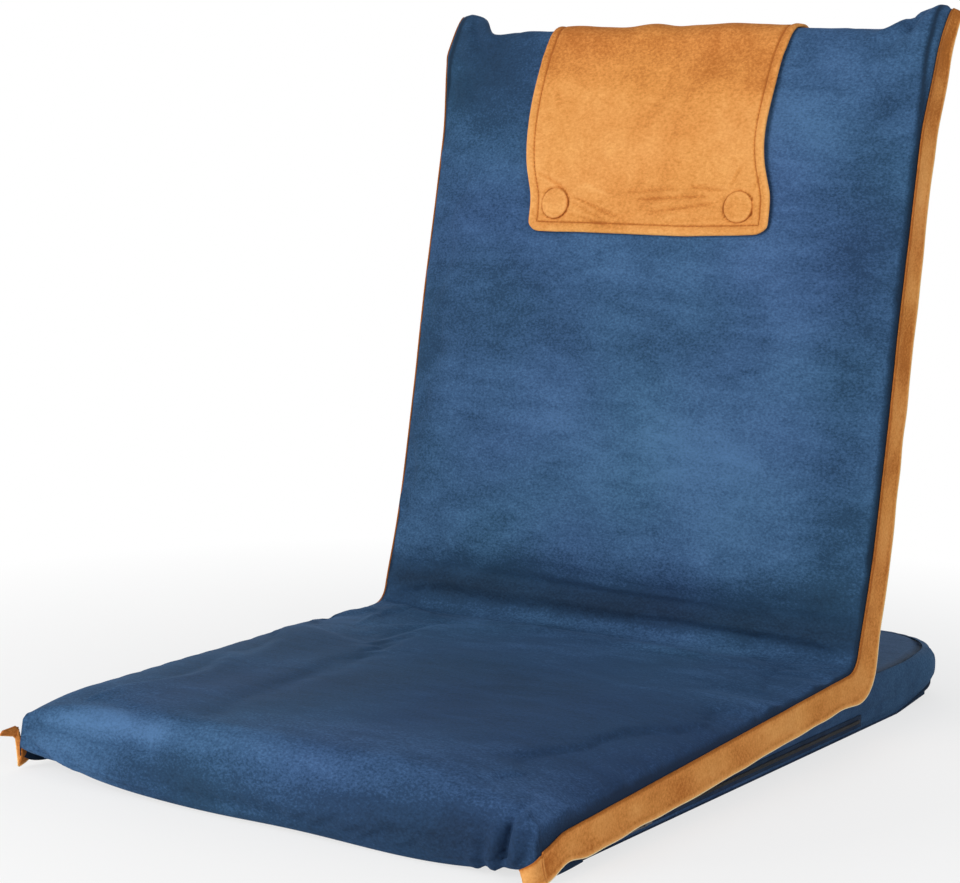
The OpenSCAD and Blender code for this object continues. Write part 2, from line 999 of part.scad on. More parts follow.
module seat_band_right() {
  color("#d68a3c")
    seat_band();
}

module seat_band_left() {
  color("#d68a3c")
    mirror([1, 0, 0])
      seat_band();
}

ear_back = 16;

// Edge of the band round the ear, from its rear to its front: distance to the rear
// as a share of half the band, and height over the top seam as a share of the ear
band_ear_shares = [[1.2, -1], [1.6, 0], [1.45, 1], [0.4, 0.5], [-0.4, 0], [-1, -0.4]];

module back_band() {
  at_back()
    plate(cover_half + soft_gap, band_t) {
      circle(r = band_half);
      polygon(concat(
        [[-band_half, 0], [band_half, 0]],
        [for (s = band_ear_shares) [s[0] * band_half, back_reach + s[1] * ear_h]]
      ));
    }
}

module back_band_right() {
  color("#d68a3c")
    back_band();
}

module back_band_left() {
  color("#d68a3c")
    mirror([1, 0, 0])
      back_band();
}

// Cushions

// Solid between an outer and an inner grid of points; the rows of both run so
// that their outer side is seen with the points of a row going round clockwise
module sheet_solid(outer, inner) {
  n = len(outer);
  m = len(outer[0]);
  points = [for (grid = [outer, inner]) for (row = grid) for (p = row) p];
  function o(j, i) = j * m + i;
  function u(j, i) = n * m + j * m + i;
  faces = concat(
    [for (j = [0:n - 2]) for (i = [0:m - 2]) [o(j, i), o(j + 1, i), o(j + 1, i + 1)]],
    [for (j = [0:n - 2]) for (i = [0:m - 2]) [o(j, i), o(j + 1, i + 1), o(j, i + 1)]],
    [for (j = [0:n - 2]) for (i = [0:m - 2]) [u(j, i), u(j + 1, i + 1), u(j + 1, i)]],
    [for (j = [0:n - 2]) for (i = [0:m - 2]) [u(j, i), u(j, i + 1), u(j + 1, i + 1)]],
    [for (j = [0:n - 2]) each [
      [o(j + 1, 0), o(j, 0), u(j, 0)],
      [o(j + 1, 0), u(j, 0), u(j + 1, 0)],
      [o(j, m - 1), o(j + 1, m - 1), u(j + 1, m - 1)],
      [o(j, m - 1), u(j + 1, m - 1), u(j, m - 1)]
    ]],
    [for (i = [0:m - 2]) each [
      [o(0, i), o(0, i + 1), u(0, i + 1)],
      [o(0, i), u(0, i + 1), u(0, i)],
      [o(n - 1, i + 1), o(n - 1, i), u(n - 1, i)],
      [o(n - 1, i + 1), u(n - 1, i), u(n - 1, i + 1)]
    ]]
  );
  polyhedron(points = points, faces = faces);
}

across = 16;
side_power = 4;
side_round = 0.45;

// Share of the half width at step j, closer together towards the sides
function across_share(j) = -cos(180 * j / across);

// Share of the full crown at a share of the half width
function crown_share(q) = pow(max(0, 1 - pow(abs(q), side_power)), side_round);

function fold_line(d) = d * fold_slope - 1.3 * soft_gap;

function draw_share(d, reach) = 1 - draw_in / cover_half * sin(180 * min(1, d / reach));

function seat_nominal(d) = band_half + seat_rise * (d - crease) / (seat_reach - crease);

function seat_top(d, s) =
  min(band_half + (seat_nominal(d) - band_half) * s, fold_line(d));

top_steps = 9;
turn_steps = 5;
drop_steps = 5;
front_low = pivot_h / cos(seat_slope) - seat_reach * tan(seat_slope) - 2 * soft_gap;

side_shoulder_r = 2;

function shoulder(s) = side_shoulder_r + (shoulder_r - side_shoulder_r) * s;

// Points of the seat cover along one line from the crease over the front,
// drawn in by t: distance from the fold axis and height over its plane
function seat_line(s, t) = let (
  r = shoulder(s),
  d1 = seat_reach - r,
  z1 = seat_top(d1, s),
  tt = min(t, z1 - pad_base)
) concat(
  [for (i = [0:top_steps - 1]) let (d = cushion_start + (d1 - cushion_start) * i / top_steps)
    [d, max(seat_top(d, s) - t, pad_base)]],
  [for (i = [0:turn_steps - 1]) let (a = 90 - 90 * i / turn_steps)
    [d1 + (r - tt) * cos(a), z1 - r + (r - tt) * sin(a)]],
  [for (i = [0:drop_steps]) let (v = i / drop_steps, z0 = z1 - r)
    [seat_reach - tt + front_bulge * s * sin(180 * v), z0 - (z0 + front_low) * v]]
);

function seat_grid(t) = [for (j = [0:across]) let (
  q = across_share(j),
  s = crown_share(q)
) [for (p = seat_line(s, t)) [q * cover_half * draw_share(p[0], seat_reach), -p[0], p[1]]]];

module seat_cover() {
  color("#2f4d6e")
    at_seat()
      sheet_solid(seat_grid(0), seat_grid(cover_t));
}

foam_side = 11;
foam_half = cover_half - foam_side;

// Top of the seat foam along one line, and its flat underside
function seat_foam_line(s, t) = let (
  r = shoulder(s),
  d1 = seat_reach - r,
  z1 = seat_top(d1, s)
) concat(
  [for (i = [0:top_steps - 1]) let (d = foam_start + (d1 - foam_start) * i / top_steps)
    [d, seat_top(d, s) - t]],
  [for (i = [0:turn_steps]) let (a = 90 - 80 * i / turn_steps)
    [d1 + (r - t) * cos(a), max(z1 - r + (r - t) * sin(a), pad_base + soft_gap)]]
);

function seat_foam_grid(top) = [for (j = [0:across]) let (
  q = across_share(j) * foam_half / cover_half,
  s = crown_share(q)
) [for (p = seat_foam_line(s, cover_t + foam_gap))
  [q * cover_half * draw_share(p[0], seat_reach), -p[0], top ? p[1] : pad_base]]];

module seat_foam() {
  color("#e8dfb8")
    at_seat()
      sheet_solid(seat_foam_grid(true), seat_foam_grid(false));
}

heel_half = rail_x - tube_r - 2 * cheek_t - 2 * pin_head_t - soft_gap;
heel_start = rear_panel_start + 2 * cheek_t;
heel_flat = pad_base - soft_gap;

module seat_heel_foam() {
  heel_end = seat_strap_start - seat_strap_w / 2 - 2 * soft_gap;
  color("#e8dfb8")
    at_seat()
      plate(-heel_half, 2 * heel_half)
        polygon([
          [-heel_end, -tube_r],
          [-heel_start, -tube_r],
          [-heel_start, fold_line(heel_start) - soft_gap],
          [-(heel_flat + 2 * soft_gap) / fold_slope, heel_flat],
          [-heel_end, heel_flat]
        ]);
}

module back_heel_foam() {
  heel_end = back_cross_reach - cross_d / 2 - 2 * soft_gap;
  color("#e8dfb8")
    at_back()
      plate(-heel_half, 2 * heel_half)
        polygon([
          [tube_r, heel_start],
          [tube_r, heel_end],
          [-heel_flat, heel_end],
          [-heel_flat, (heel_flat + 2 * soft_gap) / fold_slope],
          [-fold_line(heel_start) + soft_gap, heel_start]
        ]);
}

// Front of the back: distance in front of the frame's plane at height z
function back_build(z) = let (v = min(1, max(0, (z - crease) / crown_run))) 1 - (1 - v) * (1 - v);

function back_front(z, s) =
  min(band_half + back_crown * back_build(z) * s, fold_line(z));

back_turn_z = back_reach - 1.2 * band_half;
ear_power = 14;

// Points of the back cover along one line, from the crease over the top edge
// to the rear, drawn in by t: Y and Z in the back's frame
function back_line(q, s, t) = let (
  ear = pow(abs(q), ear_power),
  front = back_front(back_turn_z, s),
  tt = min(t, front - pad_base),
  rise = back_reach - back_turn_z + top_rise * s + ear_h * ear - tt,
  tr = min(t, band_half - pad_base)
) concat(
  [for (i = [0:back_steps - 1]) let (z = cushion_start + (back_turn_z - cushion_start) * i / back_steps)
    [-max(back_front(z, s) - t, pad_base), z]],
  [for (i = [0:top_turn_steps]) let (a = 180 - 180 * i / top_turn_steps)
    [(a > 90 ? front - tt : band_half - tr) * cos(a) + ear_back * ear * sin(a), back_turn_z + rise * sin(a)]]
);

back_steps = 9;
top_turn_steps = 9;

function back_grid(t) = [for (j = [0:across]) let (
  q = -across_share(j),
  s = crown_share(q)
) [for (p = back_line(q, s, t)) [q * cover_half * draw_share(p[1], back_reach), p[0], p[1]]]];

module back_cover() {
  color("#2f4d6e")
    at_back()
      sheet_solid(back_grid(0), back_grid(cover_t));
}

function back_foam_grid(front) = [for (j = [0:across]) let (
  q = -across_share(j) * foam_half / cover_half,
  s = crown_share(q)
) [for (i = [0:back_steps + 2]) let (z = foam_start + (back_turn_z - foam_start) * i / (back_steps + 2))
  [q * cover_half * draw_share(z, back_reach),
   front ? cover_t + foam_gap - back_front(z, s) : -pad_base, z]]];

module back_foam() {
  color("#e8dfb8")
    at_back()
      sheet_solid(back_foam_grid(true), back_foam_grid(false));
}

module back_rear_panel() {
  color("#2c4561")
    at_back()
      at(x = -cover_half, y = pad_base - fit, z = rear_panel_start)
        cube([2 * cover_half, panel_t, back_turn_z - rear_panel_start - soft_gap]);
}

// Layer in the crease that closes between seat and back. Its outer side carries
// on the crowns of both cushions, its inner side lies on the two of them.

bend_steps = 6;
bend_skin = 2 * soft_gap;
bend_stride = 1;

function free_top(rear, d, s) = rear
  ? band_half + back_crown * back_build(d) * s
  : band_half + (seat_nominal(d) - band_half) * s;

function bend_reach(rear, s, d) =
  free_top(rear, d, s) < fold_line(d) + bend_skin ? d : bend_reach(rear, s, d + bend_stride);

// Points of one arm of the layer from its corner at d0 to its free edge
function bend_arm(rear, s, d0, inner) = let (
  d1 = bend_reach(rear, s, tube_r / fold_slope)
) [for (i = [0:bend_steps]) let (d = d0 + (d1 - d0) * i / bend_steps)
  [d, inner ? max(fold_line(d) + soft_gap, pad_base) : free_top(rear, d, s)]];

function bend_grid(inner) = [for (j = [0:across]) let (
  q = -across_share(j),
  s = crown_share(q),
  d0 = inner ? pad_base / tan(opening_deg / 2) : crease,
  front = bend_arm(false, s, d0, inner),
  rear = bend_arm(true, s, d0, inner)
) concat(
  [for (i = [0:bend_steps - 1]) let (p = front[bend_steps - i], c = seat_to_chair([-p[0], p[1]]))
    [q * cover_half * draw_share(p[0], seat_reach), c[0], c[1]]],
  [for (p = rear) let (c = back_to_chair([-p[1], p[0]]))
    [q * cover_half * draw_share(p[0], back_reach), c[0], c[1]]]
)];

module bend_cover() {
  color("#2f4d6e")
    sheet_solid(bend_grid(false), bend_grid(true));
}

// Head flap

flap_turn_deg = 150;
anchor_turn_deg = 143;
flap_steps = 7;
anchor_rear = 40;

// Point on the back's surface lifted by off, at half width x
function skin(x, z, off) = let (s = crown_share(x / cover_half))
  [x, -back_front(z, s) - off, z];

function skin_top(x, a, off) = let (
  s = crown_share(x / cover_half),
  reach = a > 90 ? back_front(back_turn_z, s) : band_half
) [x, (reach + off) * cos(a), back_turn_z + (back_reach - back_turn_z + top_rise * s + off) * sin(a)];

function flap_half(z) = let (v = (z - flap_low_reach) / (back_turn_z - flap_low_reach))
  (flap_low_w + (flap_top_w - flap_low_w) * min(1, v)) / 2;

function flap_grid(off) = [for (j = [0:flap_steps]) let (q = 1 - 2 * j / flap_steps) concat(
  [for (i = [0:flap_steps]) let (z = flap_low_reach + (back_turn_z - flap_low_reach) * i / flap_steps)
    skin(q * flap_half(z), z, off)],
  [for (a = [170, 160, flap_turn_deg]) skin_top(q * flap_half(back_turn_z), a, off)]
)];

module head_flap() {
  color("#e0924a")
    at_back()
      sheet_solid(flap_grid(flap_gap + flap_t), flap_grid(flap_gap));
}

function anchor_grid(off) = [for (j = [0:flap_steps]) let (
  x = (1 - 2 * j / flap_steps) * flap_half(back_turn_z)
) concat(
  [for (i = [0:flap_steps]) skin_top(x, anchor_turn_deg * (1 - i / flap_steps), off)],
  [[x, band_half + off, back_turn_z - anchor_rear]]
)];

module flap_anchor() {
  color("#e0924a")
    at_back()
      sheet_solid(anchor_grid(2 * soft_gap + flap_t), anchor_grid(2 * soft_gap));
}

button_skin = back_front(button_reach, crown_share(button_x / cover_half));
snap_r = 7;
stud_r = 2.5;
snap_t = 1.2;

// Covered cap on the flap, and the snap stud under it
module snap_button() {
  half = button_d / 2;
  cap_r = (half * half + button_rise * button_rise) / (2 * button_rise);
  open_deg = asin(half / cap_r);
  lift = button_skin + flap_gap + flap_t + 3 * fit;
  at_back()
    at(x = button_x, z = button_reach) {
      at(y = -lift)
        rotate([90, 0, 0])
          rotate_extrude()
            polygon(concat([[0, 0]], arc(0, button_rise - cap_r, cap_r, 90 - open_deg, 90, 8)));
      rod_y(2 * fit - button_skin - flap_gap, -button_skin - 2 * soft_gap, stud_r);
    }
}

module snap_button_right() {
  color("#e0924a")
    snap_button();
}

module snap_button_left() {
  color("#e0924a")
    mirror([1, 0, 0])
      snap_button();
}

module snap_sockets() {
  color("silver")
    both_sides()
      at_back()
        at(x = button_x, y = -button_skin, z = button_reach)
          difference() {
            rod_y(-soft_gap - snap_t, -soft_gap, snap_r);
            rod_y(-2 * flap_gap, flap_gap, stud_r + 4 * fit);
          }
}

// Carry handle on the rear panel, near the right side

tab_t = 1.6;
tab_l = 22;
tab_w = 24;
bead_r = 2;
bead_l = 10;
rear_y = pad_base - fit + panel_t;
handle_y = rear_y + tab_t + soft_gap + bead_r;

// Right half of the webbing's outline, as shares of its width and of the chord
handle_shares = [[0.27, -0.6], [0.27, -0.46], [0.5, -0.38], [0.5, 0.38], [0.27, 0.46], [0.27, 0.6]];
bow_r = handle_chord * handle_chord / 8 / handle_bow + handle_bow / 2;

module handle_tabs() {
  color("#15171b")
    at_back()
      for (side = [-1, 1])
        at(x = handle_x - tab_w / 2 - tab_t, y = rear_y + fit,
           z = handle_reach + side * (handle_chord / 2 + bead_l / 4) - tab_l / 2)
          cube([tab_w, tab_t, tab_l]);
}

// Bow of webbing between two rolled ends that lie on the swing axis
module carry_handle() {
  color("#15171b")
    at_back()
      at(x = handle_x, y = handle_y, z = handle_reach) {
        for (side = [-1, 1])
          at(z = side * handle_chord / 2 - bead_l / 2)
            cylinder(r = bead_r, h = bead_l);
        intersection() {
          difference() {
            at(y = handle_bow - bow_r)
              rod_x(-handle_w / 2, handle_w / 2, bow_r);
            at(y = handle_bow - bow_r)
              rod_x(-handle_w, handle_w, bow_r - handle_t);
            at(x = -handle_w, y = -2 * bow_r + bead_r / 2, z = -2 * bow_r)
              cube([2 * handle_w, 2 * bow_r, 4 * bow_r]);
          }
          rotate([-90, 0, 0])
            linear_extrude(2 * handle_bow)
              polygon([
                for (s = handle_shares) [s[0] * handle_w, s[1] * handle_chord],
                for (s = handle_shares) [-s[0] * handle_w, -s[1] * handle_chord]
              ]);
        }
      }
}

seat_frame_tube();
seat_cross_tube();
foot_frame_tube();
foot_end_plugs();
foot_spacers();
foot_bolts();
foot_nuts();
seat_webbing();
seat_foam();
seat_heel_foam();
seat_cover();
bend_cover();
seat_band_left();
seat_band_right();
seat_underside_panel();
foot_foam();
foot_cover();
foot_bottom_panel();
hinge_bracket_left();
hinge_bracket_right();
hinge_pin_left();
hinge_pin_right();
bracket_rivets();
pawl_pins();
pawl_spring_left();
pawl_spring_right();
zip_tape();
zip_coil();
zip_slider();
zip_pull();
back_frame_tube();
back_cross_tube();
back_webbing();
back_foam();
back_heel_foam();
back_cover();
back_rear_panel();
back_band_left();
back_band_right();
ratchet_arm_left();
ratchet_arm_right();
arm_rivets();
pawl_left();
pawl_right();
flap_anchor();
head_flap();
snap_button_left();
snap_button_right();
snap_sockets();
handle_tabs();
carry_handle();
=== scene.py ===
# %% [markdown]
# # Folding floor chair
# A padded seat and back on steel tubes, with a ratchet hinge on each side.
# The CAD model gives the frame, the hinges and the room that each cushion takes.
# This notebook dresses it: velvet cover, suede bands, head flap, foot and zip.
# Lengths are written in millimetres and become metres when a mesh is made.

# %% Load the frame
import json
import math

import bpy
import numpy as np
from mathutils import Matrix, Vector
from mathutils.bvhtree import BVHTree


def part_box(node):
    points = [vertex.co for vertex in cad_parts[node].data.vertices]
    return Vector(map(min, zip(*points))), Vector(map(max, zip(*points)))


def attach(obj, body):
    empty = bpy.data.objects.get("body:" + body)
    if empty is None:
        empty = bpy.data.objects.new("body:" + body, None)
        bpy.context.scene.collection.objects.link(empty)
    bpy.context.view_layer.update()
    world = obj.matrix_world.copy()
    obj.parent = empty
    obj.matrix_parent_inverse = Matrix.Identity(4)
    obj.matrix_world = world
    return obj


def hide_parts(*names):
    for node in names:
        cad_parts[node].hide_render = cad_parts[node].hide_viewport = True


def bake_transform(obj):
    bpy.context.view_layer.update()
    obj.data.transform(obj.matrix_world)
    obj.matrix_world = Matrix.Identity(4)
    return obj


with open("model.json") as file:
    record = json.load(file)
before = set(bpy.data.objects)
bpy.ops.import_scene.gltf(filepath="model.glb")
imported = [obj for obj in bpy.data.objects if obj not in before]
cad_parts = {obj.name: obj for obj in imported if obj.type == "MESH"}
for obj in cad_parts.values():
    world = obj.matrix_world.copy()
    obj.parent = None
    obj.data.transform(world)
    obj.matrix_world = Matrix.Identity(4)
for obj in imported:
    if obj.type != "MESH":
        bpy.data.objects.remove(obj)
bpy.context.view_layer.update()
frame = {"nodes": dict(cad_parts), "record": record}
nodes = frame["nodes"]
print("frame loaded:", len(nodes), "nodes")

# %% [markdown]
# ## Directions of the chair
# The seat slopes down to the front and the back leans to the rear. Both turn about
# the fold axis. Most pieces are easiest to draw in the seat's or the back's own
# frame, so two small functions take such points into the chair's frame.

# %% Seat frame and back frame
MM = 0.001
pivot_y = 124.0
pivot_z = 43.0
slope = math.radians(3.3)
lean = math.radians(11.3)


def seat_place(x, d, z):
    """Point at distance d in front of the fold axis, z over the seat's plane."""
    d = np.asarray(d, float)
    return np.stack(np.broadcast_arrays(
        x,
        pivot_y - d * math.cos(slope) - z * math.sin(slope),
        pivot_z - d * math.sin(slope) + z * math.cos(slope)), -1)


def back_place(x, y, z):
    """Point z up the back, y behind the plane of its frame."""
    y = np.asarray(y, float)
    return np.stack(np.broadcast_arrays(
        x,
        pivot_y + y * math.cos(lean) + z * math.sin(lean),
        pivot_z - y * math.sin(lean) + z * math.cos(lean)), -1)


def metres(point):
    """Point in millimetres as a vector in metres."""
    return Vector([float(v) * MM for v in point])


print("seat front", seat_place(0, 446, 40).round(1), "back top", back_place(0, 0, 497).round(1))

# %% [markdown]
# ## Camera
# The chair is seen from the front and its right, a little above the seat, with a
# long lens. These values come from lining up the bands and corners of the chair.

# %% Camera
yaw = math.radians(34.413)
pitch = math.radians(7.75)
roll = math.radians(0.4675)
forward = Vector((-math.sin(yaw) * math.cos(pitch), math.cos(yaw) * math.cos(pitch), -math.sin(pitch)))
level = forward.cross(Vector((0, 0, 1))).normalized()
upright = level.cross(forward)
right = math.cos(roll) * level + math.sin(roll) * upright
up = right.cross(forward)
camera_data = bpy.data.cameras.new("camera")
camera_data.sensor_width = 36.0
camera_data.lens = 90.63
camera_at = (0.99962, -1.52543, 0.47005)
camera = bpy.data.objects.new("camera", camera_data)
camera.matrix_world = Matrix((
    (right.x, up.x, -forward.x, camera_at[0]),
    (right.y, up.y, -forward.y, camera_at[1]),
    (right.z, up.z, -forward.z, camera_at[2]),
    (0, 0, 0, 1)))
bpy.context.scene.collection.objects.link(camera)
bpy.context.scene.camera = camera
print("camera lens", camera_data.lens)

# %% [markdown]
# ## Light
# The photograph has a white ground and soft, low light from the front: the back is
# bright and the seat, which faces up, is half as bright. So the key lamp stands low
# beside the camera and the world gives only a little even light. Rays that come
# straight from the camera, or by a mirror, see white instead of that dim world.

# %% World and lamps


def add_node(tree, kind, operation=None, **inputs):
    """New shader node with its operation and input values."""
    node = tree.nodes.new("ShaderNode" + kind)
    if operation:
        node.operation = operation
    for name, value in inputs.items():
        node.inputs[name.replace("_", " ")].default_value = value
    return node


world = bpy.data.worlds.new("studio")
bpy.context.scene.world = world
world.use_nodes = True
tree = world.node_tree
tree.nodes.clear()
path = add_node(tree, "LightPath")
seen = add_node(tree, "Math", "MAXIMUM")
more = add_node(tree, "Math", "MAXIMUM")
fill = add_node(tree, "Background", Color=(0.92, 0.96, 1, 1), Strength=0.26)
white = add_node(tree, "Background", Color=(1, 1, 1, 1))
either = add_node(tree, "MixShader")
world_out = add_node(tree, "OutputWorld")
tree.links.new(path.outputs["Is Camera Ray"], seen.inputs[0])
tree.links.new(path.outputs["Is Glossy Ray"], seen.inputs[1])
tree.links.new(seen.outputs[0], more.inputs[0])
tree.links.new(path.outputs["Is Transmission Ray"], more.inputs[1])
for place, source in enumerate((more, fill, white)):
    tree.links.new(source.outputs[0], either.inputs[place])
tree.links.new(either.outputs[0], world_out.inputs[0])
bpy.context.scene.view_settings.view_transform = "Standard"


def lamp(name, place, aim, size, power):
    """Square area lamp that looks at a point."""
    data = bpy.data.lights.new(name, "AREA")
    data.shape = "SQUARE"
    data.size = size
    data.energy = power
    obj = bpy.data.objects.new(name, data)
    obj.location = place
    obj.rotation_euler = (Vector(aim) - Vector(place)).to_track_quat("-Z", "Y").to_euler()
    bpy.context.scene.collection.objects.link(obj)


lamp("key", (-0.75, -2.25, 1.0), (0, 0.05, 0.25), 1.7, 46)
lamp("side", (2.3, -0.9, 0.9), (0, 0.1, 0.25), 1.1, 18)
lamp("rear", (-0.9, 2.2, 1.4), (0, 0.1, 0.25), 1.4, 12)
print("three lamps")

# %% [markdown]
# ## Floor
# A pale floor takes the chair's soft shadow. Near the chair the camera sees most of
# its shading; further out it fades to plain white, like the paper roll of a studio.

# %% Floor
floor_mesh = bpy.data.meshes.new("floor")
floor_mesh.from_pydata([(-8, -8, 0), (8, -8, 0), (8, 8, 0), (-8, 8, 0)], [], [(0, 1, 2, 3)])
floor = bpy.data.objects.new("floor", floor_mesh)
bpy.context.scene.collection.objects.link(floor)
floor_paint = bpy.data.materials.new("pale_floor")
floor_paint.use_nodes = True
tree = floor_paint.node_tree
shade = tree.nodes["Principled BSDF"]
shade.inputs["Base Color"].default_value = (0.88, 0.88, 0.88, 1)
shade.inputs["Roughness"].default_value = 0.9
glow = add_node(tree, "Emission", Color=(1, 1, 1, 1))
spot = add_node(tree, "TexCoord")
away = add_node(tree, "VectorMath", "LENGTH")
fade = add_node(tree, "MapRange", From_Min=0.35, From_Max=0.85, To_Min=0.70, To_Max=1.0)
path = add_node(tree, "LightPath")
share = add_node(tree, "Math", "MULTIPLY")
mixed = add_node(tree, "MixShader")
tree.links.new(spot.outputs["Object"], away.inputs[0])
tree.links.new(away.outputs["Value"], fade.inputs["Value"])
tree.links.new(path.outputs["Is Camera Ray"], share.inputs[0])
tree.links.new(fade.outputs["Result"], share.inputs[1])
for place, source in enumerate((share, shade, glow)):
    tree.links.new(source.outputs[0], mixed.inputs[place])
tree.links.new(mixed.outputs[0], tree.nodes["Material Output"].inputs["Surface"])
floor_mesh.materials.append(floor_paint)
print("floor ready")

# %% [markdown]
# ## Cloth finishes
# The cover is a short velvet. Its nap lies in soft patches, in short strokes across
# the chair, and in clumps of fibre about two millimetres wide. One function mixes
# these three sizes of noise into a colour and a bump, so velvet, suede and webbing
# differ only in their values. A value stored at each point makes a place darker or
# lighter than the cloth round it. It holds where the pile is brushed, and also painted
# shade in seams, creases, recesses and on faces turned from the lamp, and a few
# painted highlights.

# %% Shader helpers


def linear(r, g, b):
    """sRGB values from 0 to 255 as linear light."""
    return tuple(((c / 255 + 0.055) / 1.055) ** 2.4 if c > 10 else c / 255 / 12.92 for c in (r, g, b))


def noise(tree, scale, detail=2.0, rough=0.5, stretch=(1, 1, 1), warp=0.0):
    """Noise that stays with the piece, stretched along an axis where its value is low."""
    place = add_node(tree, "TexCoord")
    mapping = add_node(tree, "Mapping", Scale=stretch)
    node = add_node(tree, "TexNoise", Scale=scale, Detail=detail, Roughness=rough, Distortion=warp)
    tree.links.new(place.outputs["Object"], mapping.inputs["Vector"])
    tree.links.new(mapping.outputs[0], node.inputs["Vector"])
    return node.outputs["Fac"]


def times(tree, value, factor, plus=0.0):
    """Value times a factor plus a number."""
    node = add_node(tree, "Math", "MULTIPLY_ADD")
    tree.links.new(value, node.inputs[0])
    node.inputs[1].default_value = factor
    node.inputs[2].default_value = plus
    return node.outputs[0]


def total(tree, *values):
    """Sum of several values."""
    result = values[0]
    for value in values[1:]:
        node = add_node(tree, "Math")
        tree.links.new(result, node.inputs[0])
        tree.links.new(value, node.inputs[1])
        result = node.outputs[0]
    return result


def ramp(tree, value, stops):
    """Colour along a list of (place, colour)."""
    node = add_node(tree, "ValToRGB")
    points = node.color_ramp.elements
    while len(points) < len(stops):
        points.new(0.5)
    for point, (place, colour) in zip(points, stops):
        point.position = place
        point.color = (*colour, 1)
    tree.links.new(value, node.inputs[0])
    return node.outputs[0]


def bump(tree, height, strength, distance, below=None):
    """Normal from a height."""
    node = add_node(tree, "Bump", Strength=strength, Distance=distance)
    tree.links.new(height, node.inputs["Height"])
    if below is not None:
        tree.links.new(below, node.inputs["Normal"])
    return node.outputs[0]


print("shader helpers ready")

# %% Cloth materials


def cloth(name, dark, middle, light, patch=8.0, stroke=60.0, grain=640.0, contrast=1.0,
          depth=0.0004, sheen=0.3, rough=0.88, stretch=(0.45, 1.2, 1.2), hue=0.035):
    """Napped cloth: soft patches, short strokes, clumps of fibre, stored brushed pile and painted shade."""
    material = bpy.data.materials.new(name)
    material.use_nodes = True
    tree = material.node_tree
    shader = tree.nodes["Principled BSDF"]
    broad = noise(tree, patch, 2.0, 0.5, (0.8, 1, 1), 0.6)
    strokes = noise(tree, stroke, 3.0, 0.6, stretch, 0.4)
    clumps = noise(tree, grain, 3.0, 0.65, (0.7, 1, 1))
    fibre = noise(tree, grain * 3.5, 2.0, 0.6)
    # Stored per point: brushed pile, painted shade and painted highlights
    brushed_and_shaded = add_node(tree, "Attribute")
    brushed_and_shaded.attribute_name = "nap_and_shading"
    mix = total(tree, times(tree, broad, 0.36 * contrast, 0.5 - 0.18 * contrast),
                times(tree, strokes, 0.24 * contrast, -0.12 * contrast),
                times(tree, clumps, 0.46 * contrast, -0.23 * contrast),
                times(tree, brushed_and_shaded.outputs["Fac"], 0.16))
    darkest = tuple(c * 0.45 for c in dark)
    lightest = tuple(min(1.0, c * 1.45) for c in light)
    stops = [(0.06, darkest), (0.36, dark), (0.5, middle), (0.64, light), (0.94, lightest)]
    tint = add_node(tree, "HueSaturation")
    drift = noise(tree, patch * 0.8, 1.0, 0.5, (1, 0.6, 1.3))
    tree.links.new(times(tree, drift, hue, 0.5 - hue / 2), tint.inputs["Hue"])
    tree.links.new(ramp(tree, mix, stops), tint.inputs["Color"])
    tree.links.new(tint.outputs[0], shader.inputs["Base Color"])
    shader.inputs["Roughness"].default_value = rough
    shader.inputs["Specular IOR Level"].default_value = 0.2
    shader.inputs["Sheen Weight"].default_value = sheen
    shader.inputs["Sheen Roughness"].default_value = 0.4
    shader.inputs["Sheen Tint"].default_value = (*light, 1)
    soft = bump(tree, strokes, 0.5, depth * 2.5)
    tufts = bump(tree, clumps, 0.55, depth, soft)
    tree.links.new(bump(tree, fibre, 0.4, depth * 0.4, tufts), shader.inputs["Normal"])
    return material


velvet = cloth("blue_velvet", linear(38, 66, 97), linear(56, 88, 125), linear(72, 106, 146), contrast=1.3)
# A darker copy of the blue velvet, with less sheen, for the foot, the rear gusset and the seat's lining,
# which lie low and under the seat: painted shade
velvet_in_shade = cloth("blue_velvet_in_shade", linear(34, 58, 88), linear(50, 80, 114), linear(66, 98, 134),
                    sheen=0.25)
suede = cloth("orange_suede", linear(188, 112, 48), linear(221, 147, 75), linear(238, 170, 98), patch=11.0,
              grain=520.0, contrast=0.85, sheen=0.18, rough=0.92, stretch=(1, 1, 1), hue=0.008)
raw_edge = cloth("suede_raw_edge", linear(226, 170, 110), linear(244, 200, 146), linear(252, 220, 176),
                 patch=40.0, contrast=0.8, sheen=0.1)
seam_thread = cloth("seam_thread", linear(150, 84, 34), linear(180, 106, 46), linear(206, 132, 66),
                    patch=60.0, contrast=0.7, sheen=0.1)
webbing = cloth("black_webbing", linear(14, 15, 18), linear(24, 25, 29), linear(38, 39, 44), patch=60.0,
                grain=900.0, sheen=0.08, stretch=(1, 1, 0.3))
base_cloth = cloth("base_fabric", linear(24, 36, 54), linear(34, 50, 74), linear(46, 64, 92), patch=30.0,
                   grain=900.0, sheen=0.08)
foam = cloth("foam", linear(208, 196, 150), linear(232, 222, 184), linear(244, 236, 206), patch=40.0,
             grain=900.0, sheen=0.0)
print("cloths:", velvet.name, suede.name, webbing.name)

# %% [markdown]
# ## Metal, paint and plastic
# These pieces keep their CAD shape and only get a finish. Fine scratches and cloudy
# plating come from stretched noise, so no surface has one flat value.

# %% Hard materials


